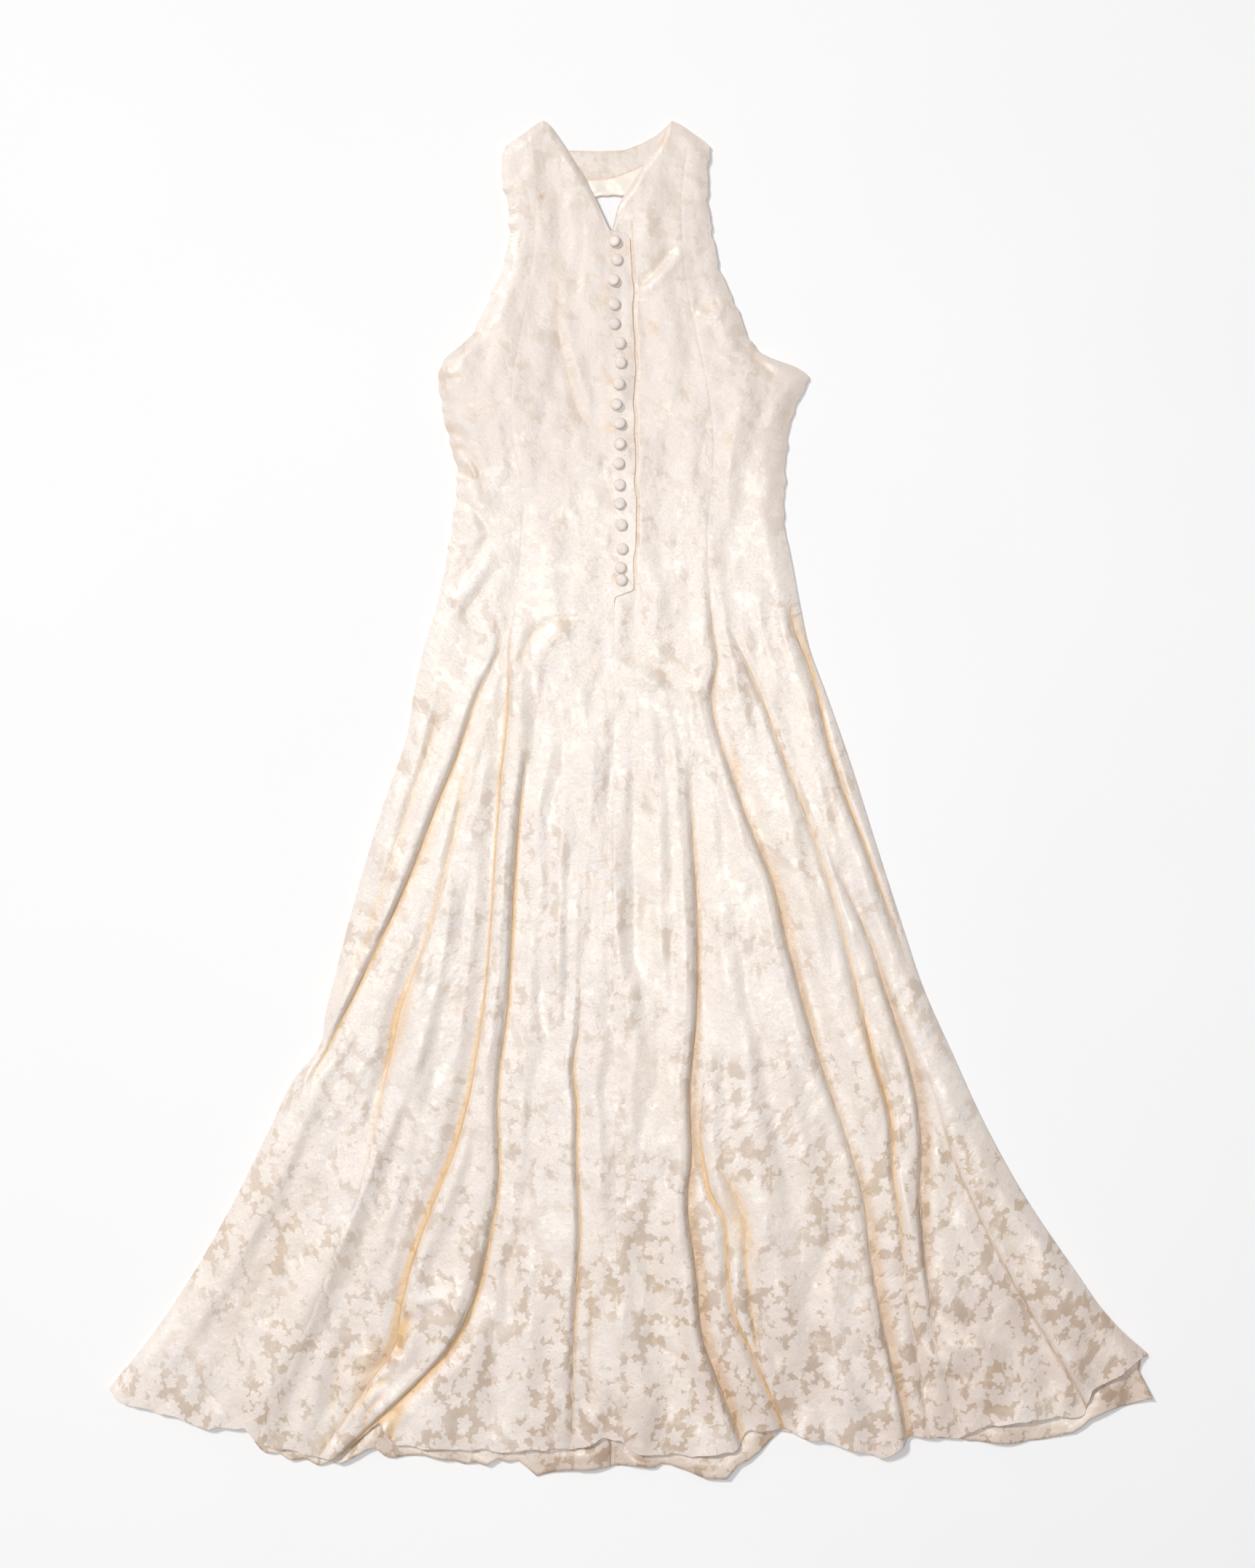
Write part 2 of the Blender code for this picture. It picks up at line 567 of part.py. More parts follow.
def keyhole_points(side):
    """Edge of the keyhole on one side, top to foot: a flat top and a drop that closes to a point."""
    points = []
    for step in range(KEYHOLE_STEPS):
        t = step / (KEYHOLE_STEPS - 1)
        half = KEYHOLE_HALF_WIDTH * math.sqrt(1 - t ** 2.2) + SEAM_GAP / 2
        points.append((KEYHOLE_MIDDLE + side * half, KEYHOLE_TOP + (KEYHOLE_FOOT - KEYHOLE_TOP) * t))
    return points


def back_outlines():
    """Outline of each back piece, clockwise from its upper left corner."""
    half = SEAM_GAP / 2
    middle = KEYHOLE_MIDDLE
    shoulder_left = [(x, y - 2.0) for x, y in FRONT_TOP_LEFT[1:6]] + list(BACK_NECK)
    shoulder_right = list(BACK_NECK) + [(x, y - 2.0) for x, y in FRONT_TOP_RIGHT[8:11]]
    left_x, right_x = float(left_seam(np.float64(735))), float(right_seam(np.float64(735)))
    left_foot = float(straight(BACK_HEM, left_seam(np.float64(-720))))
    right_foot = float(straight(BACK_HEM, right_seam(np.float64(-722))))
    left_hem_x = float(left_seam(np.float64(left_foot)))
    right_hem_x = float(right_seam(np.float64(right_foot)))
    edge_left, edge_right = LEFT_EDGE[1][1] + BACK_INSET, RIGHT_EDGE[1][1] - BACK_INSET
    top_left = run_between(shoulder_left, left_x + half, middle - half)
    top_right = run_between(shoulder_right, middle + half, right_x - half)
    hem_foot = BACK_HEM[0][1]
    return (
        ("back_side_left",
         run_between(shoulder_left, edge_left, left_x - half)
         + side_points(LEFT_SEAM, 735, left_foot, -half)[1:]
         + run_between(BACK_HEM, BACK_HEM[0][0], left_hem_x - half)[-2::-1]
         + side_points(LEFT_EDGE, 733, hem_foot, BACK_INSET)[-2:0:-1]),
        ("back_centre_left",
         top_left[:-1] + [(middle - half, top_left[-1][1]), (middle - half, KEYHOLE_TOP)]
         + keyhole_points(-1)
         + run_between(BACK_HEM, left_hem_x + half, middle - half)[::-1]
         + side_points(LEFT_SEAM, 735, left_foot, half)[-2:0:-1]),
        ("back_centre_right",
         top_right
         + side_points(RIGHT_SEAM, 735, right_foot, -half)[1:-1]
         + run_between(BACK_HEM, middle + half, right_hem_x - half)[::-1]
         + keyhole_points(1)[::-1]
         + [(middle + half, KEYHOLE_TOP)]),
        ("back_side_right",
         run_between(shoulder_right, right_x + half, edge_right)
         + side_points(RIGHT_EDGE, 733, -610, -BACK_INSET)[1:]
         + list(BACK_RIGHT_TIP)[::-1]
         + run_between(BACK_HEM, right_hem_x + half, BACK_HEM[-1][0])[::-1]
         + side_points(RIGHT_SEAM, 735, right_foot, half)[-2:0:-1]),
    )


def build_back(material):
    """Four flat back pieces with the keyhole cut out between the two centre ones."""
    for name, outline in back_outlines():
        vertices, faces = solid_outline(outline, BACK_WALL)
        add_object(name, vertices, faces, material)


def build_neck_strip(name, top, foot, foot_gap, material):
    """Strip of cloth on the back piece between two edge tables."""
    x = np.linspace(top[0][0], top[-1][0], NECK_COLUMNS)
    upper, lower = straight(top, x), straight(foot, x) + foot_gap
    y = np.stack([upper, (upper + lower) / 2, lower])
    height = np.full_like(y, BACK_WALL + SEAM_GAP + NECK_WALL)
    points = np.stack([np.broadcast_to(x, y.shape), y, height], axis=-1)
    vertices, faces = solid_grid(points, NECK_WALL)
    add_object(name, vertices, faces, material)


def build_button(number, x, y, material):
    """Cloth-covered dome turned from BUTTON_PROFILE, just above the overlap."""
    place = front_surface(np.array([float(x)]), np.array([float(y)]), FRONT_TOP_LEFT)
    seat = float(place[0, 2]) + SEAM_GAP
    turn = 2 * math.pi / BUTTON_SIDES
    vertices = [(x * MM, y * MM, seat * MM)]
    for radius, height in BUTTON_PROFILE:
        for k in range(BUTTON_SIDES):
            vertices.append(((x + radius * math.cos(k * turn)) * MM,
                             (y + radius * math.sin(k * turn)) * MM, (seat + height) * MM))
    vertices.append((x * MM, y * MM, (seat + BUTTON_TOP) * MM))
    top = len(vertices) - 1
    rings = len(BUTTON_PROFILE)
    faces = []
    for k in range(BUTTON_SIDES):
        after = (k + 1) % BUTTON_SIDES
        faces.append((0, 1 + after, 1 + k))
        for ring in range(rings - 1):
            low, high = 1 + ring * BUTTON_SIDES, 1 + (ring + 1) * BUTTON_SIDES
            faces.append((low + k, low + after, high + after, high + k))
        last = 1 + (rings - 1) * BUTTON_SIDES
        faces.append((last + k, last + after, top))
    add_object(f"button_{number:02d}", vertices, faces, material)


def main():
    for old in list(bpy.data.objects):
        bpy.data.objects.remove(old, do_unlink=True)
    silk = cloth_material("cream figured silk", FIGURED_SILK, 0.45)
    satin = cloth_material("ivory satin lining", SATIN_LINING, 0.35)
    covered = cloth_material("covered button cloth", COVERED_BUTTON, 0.5)
    build_back(silk)
    build_neck_strip("back_neck_facing", FACING_TOP, FACING_FOOT, SEAM_GAP, silk)
    build_neck_strip("back_neck_lining", FACING_FOOT, LINING_FOOT, 0.0, satin)
    build_front(silk)
    for number, (x, y) in enumerate(BUTTONS, start=1):
        build_button(number, x, y, covered)


main()
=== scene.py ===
"""The look of a cream silk jacquard gown laid out flat on its back, front side up.

X runs across the gown, Y from the hem to the shoulders, Z up off the surface that it lies on. Left
and right are as seen from above. Sizes are millimetres, and become metres in the meshes.

Each sewn piece of the front is a grid of points on one folded surface, front_surface(x, y), which
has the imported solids' folds with finer rolls, drags and ripples on them. The grid's border is
turned under like a hem, so that every edge has its thickness.
"""
import math
from collections import namedtuple
from functools import partial

import bmesh
import bpy
import numpy as np
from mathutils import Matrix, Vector


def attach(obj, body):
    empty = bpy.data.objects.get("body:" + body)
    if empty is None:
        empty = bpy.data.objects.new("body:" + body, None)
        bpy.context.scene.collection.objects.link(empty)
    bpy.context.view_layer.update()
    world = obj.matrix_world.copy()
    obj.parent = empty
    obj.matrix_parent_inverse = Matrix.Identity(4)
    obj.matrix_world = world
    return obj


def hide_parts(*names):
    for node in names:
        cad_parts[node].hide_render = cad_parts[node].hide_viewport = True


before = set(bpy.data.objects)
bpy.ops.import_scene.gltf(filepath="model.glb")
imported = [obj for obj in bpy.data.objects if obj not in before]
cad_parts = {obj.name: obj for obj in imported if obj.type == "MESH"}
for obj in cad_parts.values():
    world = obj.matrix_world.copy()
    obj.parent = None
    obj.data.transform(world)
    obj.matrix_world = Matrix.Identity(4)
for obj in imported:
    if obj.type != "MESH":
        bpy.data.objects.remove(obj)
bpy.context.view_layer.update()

MM = 0.001

# Cloth heights and gaps, as the solids have them
FRONT_WALL = 1.2
BACK_WALL = 2.0
NECK_WALL = 1.0
SEAM_GAP = 0.3
LAYER_GAP = 0.4
CREASE_HEIGHT = BACK_WALL + LAYER_GAP + FRONT_WALL
EDGE_HEIGHT = CREASE_HEIGHT + 0.2
NECK_EDGE_HEIGHT = BACK_WALL + SEAM_GAP + NECK_WALL + LAYER_GAP + FRONT_WALL + 0.2
EDGE_ROUND = 26.0
NECK_ROUND = 16.0
ARMHOLE_RISE = (440.0, 560.0)

# How a rolled layer stands at a crease, finer than in the solids
ROLL_WIDTH = 7.5
LIP_PLACE = 4.5
LIP_WIDTH = 3.8
LEAN_GAIN = 0.2
CREASE_SHARE = 0.55
SWELL_PLACE = 12.0
SWELL_WIDTH = 10.0

# Cloth hidden in a crease, and the span across its line over which the cut places take it up
HIDDEN_CLOTH = 46.0
HIDDEN_SPAN = (-1.5, 2.5)

# Painted warm glow and painted shade beside a crease: its half width on the roll, its share of the
# stated width on the other side and the least stated width, and how dark the painted shade is
GLOW_ON_ROLL = 2.0
GLOW_SHARE = 0.9
GLOW_LEAST = 0.5
SHADE_GAIN = 0.7

# Seams: half the gap, how deep the stitched line sits and how the cloth puckers beside it
SEAM_MEET = 0.03
SEAM_SINK = 0.15
SEAM_WIDTH = 1.8
PUCKER_HEIGHT = 0.12
PUCKER_WIDTH = 7.0
PUCKER_PITCH = 11.0

# The front seam ends under the buttons: above this span the seam is moved out of reach
FRONT_SEAM_TOP = (205.0, 230.0)
SEAM_FAR = 40.0

# The right front passes under the left one along the buttons
UNDERLAP_EDGE = -23.0
UNDERLAP_DROP = FRONT_WALL + 0.5
UNDERLAP_RAMP = 5.0
UNDERLAP_TOP = (662.0, 642.0)
UNDERLAP_FOOT = (226.0, 212.0)

# The doubled band along the buttons: its slanting foot, how much it stands up and from where, and
# the painted warm glow line beside it
PLACKET_FOOT = (236.0, 228.0)
PLACKET_RAISE = 0.3
PLACKET_WIDTH = 22.0
PLACKET_START = (225.0, 240.0)
PLACKET_GLOW = 0.4
PLACKET_GLOW_WIDTH = 3.0
PLACKET_GLOW_FOOT = (228.0, 240.0)
PLACKET_GLOW_TOP = (625.0, 640.0)
OVERLAP_RISE = (-45.0, -25.0)

# The back opening below the neck
KEYHOLE_MIDDLE = -22.0
KEYHOLE_TOP = 680.0
KEYHOLE_FOOT = 540.0
KEYHOLE_HALF_WIDTH = 24.0

# Side outline of the gown: (y, x)
LEFT_EDGE = (
    (765, -142), (735, -141), (713, -145), (664, -137), (635, -136), (615, -139), (566, -158),
    (516, -186), (500, -204), (488, -214), (467, -215), (418, -207), (369, -195), (320, -199),
    (270, -207), (221, -217), (172, -232), (123, -243), (74, -251), (0, -276), (-98, -306),
    (-197, -332), (-246, -344), (-270, -347), (-287, -356), (-307, -373), (-369, -405),
    (-467, -454), (-566, -513), (-615, -548), (-662, -586), (-720, -632))
RIGHT_EDGE = (
    (765, 91), (735, 89), (672, 87), (631, 93), (598, 100), (557, 118), (516, 136), (504, 145),
    (497, 159), (488, 185), (480, 198), (467, 197), (434, 182), (410, 177), (344, 173), (320, 172),
    (262, 182), (213, 191), (172, 200), (123, 218), (49, 244), (-49, 275), (-148, 307),
    (-205, 326), (-287, 362), (-369, 400), (-451, 446), (-533, 502), (-574, 531), (-598, 553),
    (-622, 580), (-680, 640))

# Princess seams, which run in the two longest creases below the hip. Rows as in a crease
LEFT_SEAM = (
    (765, -119, 0, 0), (734, -114, 0, 0), (670, -107, 0, 0), (631, -108, 0, 0), (574, -114, 0, 0),
    (525, -123, 0, 0), (475, -132, 0, 0), (426, -134, 0, 0), (377, -127, 0, 0), (334, -121, 0, 0),
    (287, -123, 0, 0), (234, -127, 0, 2), (178, -135, .3, 3), (102, -138, .8, 4), (20, -146, .9, 4),
    (-62, -152, .8, 3), (-143, -157, .8, 3), (-213, -163, .85, 3), (-279, -172, .9, 5),
    (-336, -182, .95, 6), (-389, -196, 1, 7), (-463, -225, 1, 7), (-525, -247, 1, 8),
    (-574, -258, 1, 9), (-615, -266, .9, 12), (-652, -291, .7, 12), (-701, -325, .4, 6),
    (-738, -350, .3, 4))
RIGHT_SEAM = (
    (765, 68, 0, 0), (734, 64, 0, 0), (670, 57, 0, 0), (631, 58, 0, 0), (574, 64, 0, 0),
    (525, 74, 0, 0), (475, 85, 0, 0), (426, 92, 0, 0), (391, 94, 0, 0), (307, 87, 0, 0),
    (262, 87, .2, 2), (189, 93, .5, 3), (149, 97, .7, 4), (127, 92, .9, 6), (111, 91, .8, 6),
    (66, 101, .7, 5), (27, 114, .8, 7), (-37, 137, .9, 9), (-90, 159, 1, 11), (-148, 173, 1, 12),
    (-217, 191, 1, 10), (-295, 213, .9, 8), (-369, 239, .6, 7), (-447, 261, .8, 12),
    (-516, 270, .9, 14), (-582, 282, .9, 14), (-643, 296, .9, 11), (-701, 308, .9, 9),
    (-738, 312, .9, 8))

# Edge of the buttoned overlap, and the seam below it: (y, x)
PLACKET_EDGE = ((765, -3), (628, 0), (574, 2), (520, 4), (410, 4), (328, 6), (236, 3))
FRONT_SEAM = ((228, -18), (-61, -19), (-328, -18), (-574, -14), (-738, -7))

# Shoulders, neck and hem, read across the gown: (x, y)
FRONT_TOP_LEFT = (
    (-145, 733), (-141, 735), (-118, 751), (-108, 759), (-98, 765), (-91, 760), (-79, 743),
    (-67, 725), (-58, 711), (-49, 698), (-40, 679), (-32, 659), (-23, 639), (-17, 638.5),
    (-7, 638), (-2, 634), (1, 628))
FRONT_TOP_RIGHT = (
    (-23, 633), (-21, 639), (-14, 669), (-4, 685), (15, 715), (34, 742), (41, 756), (45, 765),
    (56, 760), (66, 753), (86, 739), (91, 733))
FRONT_HEM = (
    (-586, -662), (-574, -676), (-541, -685), (-500, -697), (-477, -707), (-432, -705),
    (-422, -719), (-403, -728), (-358, -736), (-337, -740), (-321, -737), (-300, -715),
    (-282, -697), (-275, -711), (-267, -724), (-239, -728), (-186, -730), (-136, -732),
    (-63, -728), (-42, -725), (-33, -719), (-9, -718), (-2, -730), (15, -736), (97, -736),
    (119, -730), (127, -717), (129, -710), (173, -706), (191, -716), (224, -721), (245, -730),
    (269, -736), (286, -738), (303, -730), (311, -716), (370, -716), (392, -707), (417, -701),
    (470, -695), (513, -691), (516, -664), (536, -655), (556, -641), (580, -622))
BACK_TOP = (
    (-141, 733), (-118, 749), (-108, 757), (-98, 763), (-91, 758), (-79, 740), (-71, 730),
    (-37, 729), (-9, 730), (3, 734), (15, 740), (32, 750), (45, 763), (56, 758), (66, 751),
    (86, 737), (91, 731))
BACK_HEM = (
    (-579, -661), (-500, -689), (-430, -707), (-421, -727), (-409, -737), (-397, -733),
    (-384, -742), (-366, -743), (-352, -749), (-338, -744), (-325, -747), (-306, -737),
    (-292, -727), (-281, -734), (-272, -743), (-262, -737), (-250, -740), (-239, -735),
    (-228, -742), (-215, -737), (-205, -747), (-193, -741), (-184, -750), (-172, -744),
    (-160, -749), (-150, -741), (-138, -745), (-124, -742), (-116, -752), (-106, -763),
    (-87, -756), (-43, -753), (3, -748), (26, -752), (36, -746), (60, -754), (82, -762),
    (109, -764.5), (119, -749), (142, -738), (150, -728), (171, -707), (201, -724), (229, -717),
    (273, -725), (306, -716), (370, -719), (417, -725), (462, -720), (503, -711), (513, -697),
    (542, -686), (586.5, -673))
BACK_RIGHT_TIP = ((586.5, -673), (572, -643), (575, -627))
BACK_INSET = 2.5

# Rows of the back pieces: (first height, last height, number), and those above and below them
BACK_ROWS = ((700, 680.6, 6), (680.6, 679.4, 4), (679.4, 538, 60), (538, -600, 60))
BACK_TOP_ROWS, BACK_HEM_ROWS, BACK_COLUMNS = 10, 40, 40
BACK_HEM_GUESS = -690.0

# The back's hem lifts where it peeps out beyond the front's; there it is painted a little darker
# as shade, with a faint painted glow
BACK_LIFT = 7.0
BACK_LIFT_SPAN = (-1.0, 11.0)
BACK_GLOW, BACK_SHADE = 0.06, 0.30
LEAST_HEIGHT = 0.5
SHEET_WALL = 0.4

# Facing and satin strip inside the back neck: (x, y)
FACING_TOP = (
    (-85, 729), (-71, 731), (-37, 730), (-9, 731), (3, 735), (15, 740), (32, 750), (45, 762),
    (52, 759))
FACING_FOOT = (
    (-85, 701), (-63, 699), (-50, 698), (-30, 698), (-14, 702), (1, 708), (33, 723), (52, 730))
LINING_FOOT = (
    (-85, 681), (-50, 680.5), (-40, 680), (-14, 680.5), (1, 684), (15, 687), (33, 690),
    (52, 694))

# Rows and columns of those two, the ripples' middle and half width, and painted glow along their
# edges
NECK_ROWS, NECK_COLUMNS = 40, 200
NECK_WINDOW = (-26.0, 34.0)
NECK_GLOW_WIDTH = 0.08

# Buttons: centre x and y, how far the dome tips in degrees, and towards which bearing
BUTTONS = (
    (-18, 628, 38, 150), (-15, 607, 8, 200), (-19, 584, 34, 130), (-18, 557, 6, 60),
    (-18, 535, 8, 240), (-12, 513, 14, 190), (-11, 491, 10, 170), (-13, 467, 12, 160),
    (-16, 444, 24, 150), (-12, 423, 26, 120), (-12, 400, 22, 140), (-13, 378, 16, 110),
    (-12, 354, 12, 150), (-12, 333, 16, 120), (-10, 309, 10, 190), (-9, 282, 6, 210),
    (-11, 261, 14, 130), (-10, 247, 8, 180))
BUTTON_RADIUS = 6.8
BUTTON_HEIGHT = 3.6
BUTTON_SIDES = 40
BUTTON_RINGS = 16
BUTTON_CROWN, BUTTON_BASE = 0.78, 0.22
BUTTON_LEAN = 0.55
GATHERS = 13
GATHER_DEPTH = 0.012

# Height of the puffed front between its edges: (y, height)
REST_HEIGHT = (
    (765, 8.5), (650, 9), (500, 10), (380, 10), (300, 9.5), (200, 10.5), (80, 12), (-150, 13),
    (-500, 13), (-660, 12), (-740, 11))

# Soft swells of the bust and hips
Swell = namedtuple("Swell", "x y half_width half_length rise")
SWELLS = (
    Swell(-150, 470, 45, 75, 4.0),
    Swell(115, 455, 50, 80, 4.5),
    Swell(-85, 180, 50, 60, 2.0),
    Swell(40, 150, 55, 60, 2.0),
    Swell(-25, -250, 45, 320, 2.5),
    Swell(150, -330, 45, 260, 2.5),
    Swell(-210, -300, 40, 260, 2.5),
    Swell(359, -628, 26, 24, 4.0),
    Swell(-216, -590, 24, 40, 6.5),
    Swell(-300, -680, 22, 26, 3.5),
    Swell(88, 127, 16, 14, 2.5),
)

# Places where the hollow of a fold takes a painted glow, standing in for light through the cloth:
# x, y, half widths across and along, drift of its axis to the right for each mm down, strength
GLOWS = (
    (-257, -598, 8, 24, -.25, 1.0), (-262, -690, 7, 26, -.5, .9), (-292, -632, 15, 26, -.3, .45),
    (124, -478, 12, 44, .25, .55), (276, -305, 6, 62, .32, .6), (120, 34, 4, 26, .2, .7),
    (200, 178, 5, 22, .4, .6), (-258, -258, 6, 46, -.3, .5), (-232, -60, 6, 70, -.42, .35))

# A crease: upper_side says which layer rolls over it, -1 the left one and 1 the right one; reach
# is how far the lower layer takes to rise again; lean is how far the roll hangs over; rise is the
# swell of the roll; share is where its line goes on across the bodice; gold is how much of the
# tone painted beside it is painted glow, for light through the cloth, rather than painted shade.
# Rows: (y, x, depth 0 to 1, width of the painted warm glow beside it)
Crease = namedtuple("Crease", "name upper_side reach lean rise share gold rows")
LEFT_OUTER = Crease(
    "left outer", -1, 26, 5.0, 3.0, 0.55, 0.8,
    ((205, -151, 0, 0), (184, -146, .3, 2), (115, -173, .8, 3), (49, -195, 1, 4),
     (-15, -221, 1, 5), (-78, -245, 1, 6), (-162, -283, 1, 6), (-246, -324, 1, 5),
     (-287, -345, .9, 4), (-307, -356, .5, 3), (-344, -362, 0, 1), (-492, -395, 0, 0),
     (-639, -460, 0, 0), (-720, -500, 0, 0)))
LEFT_INNER = Crease(
    "left inner", 1, 20, 4.0, 2.0, 0.8, 1.0,
    ((200, -141, 0, 0), (115, -156, 0, 0), (20, -177, .15, 1), (-66, -204, .3, 2),
     (-115, -218, .3, 2), (-172, -236, .4, 3), (-207, -248, .8, 6), (-234, -258, 1, 8),
     (-287, -269, .9, 7), (-352, -284, .5, 5), (-426, -300, .15, 3),
     (-500, -329, .12, 2), (-578, -359, .15, 2), (-656, -392, .1, 2), (-740, -430, .1, 2)))
LEFT_SEAM_CREASE = Crease("left seam", 1, 24, 5.0, 2.4, 1.0, 0.9, LEFT_SEAM)
ROLL_EDGE = Crease(
    "roll edge", -1, 30, 5.0, 2.2, 0.25, 0.9,
    ((61, -116, 0, 0), (41, -118, .5, 2), (-33, -126, 1, 3.5), (-131, -132, 1, 4),
     (-238, -138, .85, 4), (-307, -147, .8, 4), (-352, -149, .7, 4), (-426, -148, .8, 5),
     (-496, -159, .9, 5), (-570, -179, 1, 7), (-615, -203, 1, 9), (-657, -241, 1, 12),
     (-695, -282, 1, 14), (-736, -325, 1, 12)))
MIDDLE = Crease(
    "middle", -1, 30, 4.0, 1.5, 0.6, 0.85,
    ((41, -63, 0, 0), (-41, -58, .08, 4), (-123, -54, .1, 4), (-205, -55, .15, 4),
     (-262, -59, .4, 5), (-300, -64, .8, 4), (-340, -61, 1, 5), (-418, -60, .8, 4),
     (-467, -57, .8, 4), (-574, -62, .8, 4), (-664, -65, .45, 3), (-740, -67, .25, 2)))
RIGHT_MIDDLE = Crease(
    "right middle", -1, 30, 6.0, 4.0, 0.7, 0.5,
    ((60, 68, 0, 0), (25, 67, .3, 3), (-41, 70, .8, 5), (-115, 74, 1, 6), (-242, 74, 1, 7),
     (-328, 67, 1, 10), (-410, 68, 1, 11), (-443, 64, 1, 11), (-480, 66, 1, 12),
     (-525, 73, 1, 13), (-607, 82, 1, 14), (-643, 94, 1, 14), (-676, 107, 1, 13),
     (-707, 119, 1, 11), (-738, 129, 1, 9)))
RIGHT_BRANCH = Crease(
    "right branch", 1, 12, 3.0, 2.0, 0.86, 1.0,
    ((-200, 105, 0, 0), (-300, 84, 0, 0), (-352, 78, .4, 3), (-385, 79, .8, 5), (-414, 84, .9, 6),
     (-443, 91, .9, 7), (-471, 106, .8, 6), (-504, 109, .8, 5), (-578, 117, .8, 5),
     (-627, 139, .8, 4), (-680, 162, .9, 4), (-738, 186, .9, 4)))
RIGHT_SEAM_CREASE = Crease("right seam", -1, 30, 6.0, 4.0, 1.0, 0.5, RIGHT_SEAM)
RIGHT_SHARP = Crease(
    "right sharp", -1, 9, 3.0, 1.0, 0.2, 0.9,
    ((201, 107, 0, 0), (157, 129, .6, 2), (123, 144, .7, 2), (56, 169, .7, 3), (-25, 200, .6, 3),
     (-117, 230, .6, 3), (-207, 253, .7, 3), (-287, 273, .9, 4), (-352, 291, .9, 4),
     (-418, 295, .8, 4), (-484, 304, .6, 3), (-541, 310, .3, 2), (-656, 327, .3, 2),
     (-740, 338, .2, 2)))
RIGHT_DROP = Crease(
    "right drop", -1, 22, 5.0, 3.0, 0.5, 0.25,
    ((-30, 212, 0, 0), (-89, 237, .4, 4), (-146, 263, .8, 6), (-221, 288, 1, 9),
     (-303, 314, 1, 14), (-377, 326, 1, 15), (-451, 325, 1, 13), (-525, 332, .9, 9),
     (-553, 336, .6, 5), (-607, 341, .25, 3), (-656, 355, .2, 2), (-740, 378, .2, 2)))
RIGHT_LOW = Crease(
    "right low", 1, 26, 3.0, 3.0, 0.66, 0.2,
    ((0, 224, 0, 0), (-100, 262, 0, 0), (-200, 298, 0, 0), (-291, 326, 0, 0), (-336, 343, .3, 2),
     (-395, 360, .6, 3), (-466, 391, .7, 3), (-533, 425, .7, 3), (-613, 472, .7, 3),
     (-666, 504, .8, 3), (-740, 540, .8, 3)))
RIGHT_OUTER = Crease(
    "right outer", -1, 10, 3.0, 2.0, 0.86, 0.7,
    ((225, 180, 0, 0), (207, 180, .8, 6), (160, 197, 1, 6), (115, 211, 1, 5), (66, 222, 1, 4),
     (8, 240, 1, 4), (-45, 261, 1, 4), (-98, 280, .9, 4), (-148, 298, .7, 3), (-180, 308, .2, 2),
     (-201, 313, 0, 0), (-336, 372, 0, 0), (-533, 472, 0, 0), (-720, 600, 0, 0)))
CREASES = (
    LEFT_OUTER, LEFT_INNER, LEFT_SEAM_CREASE, ROLL_EDGE, MIDDLE, RIGHT_MIDDLE, RIGHT_BRANCH,
    RIGHT_SEAM_CREASE, RIGHT_SHARP, RIGHT_DROP, RIGHT_LOW, RIGHT_OUTER)
SHARE_FADE = 90.0
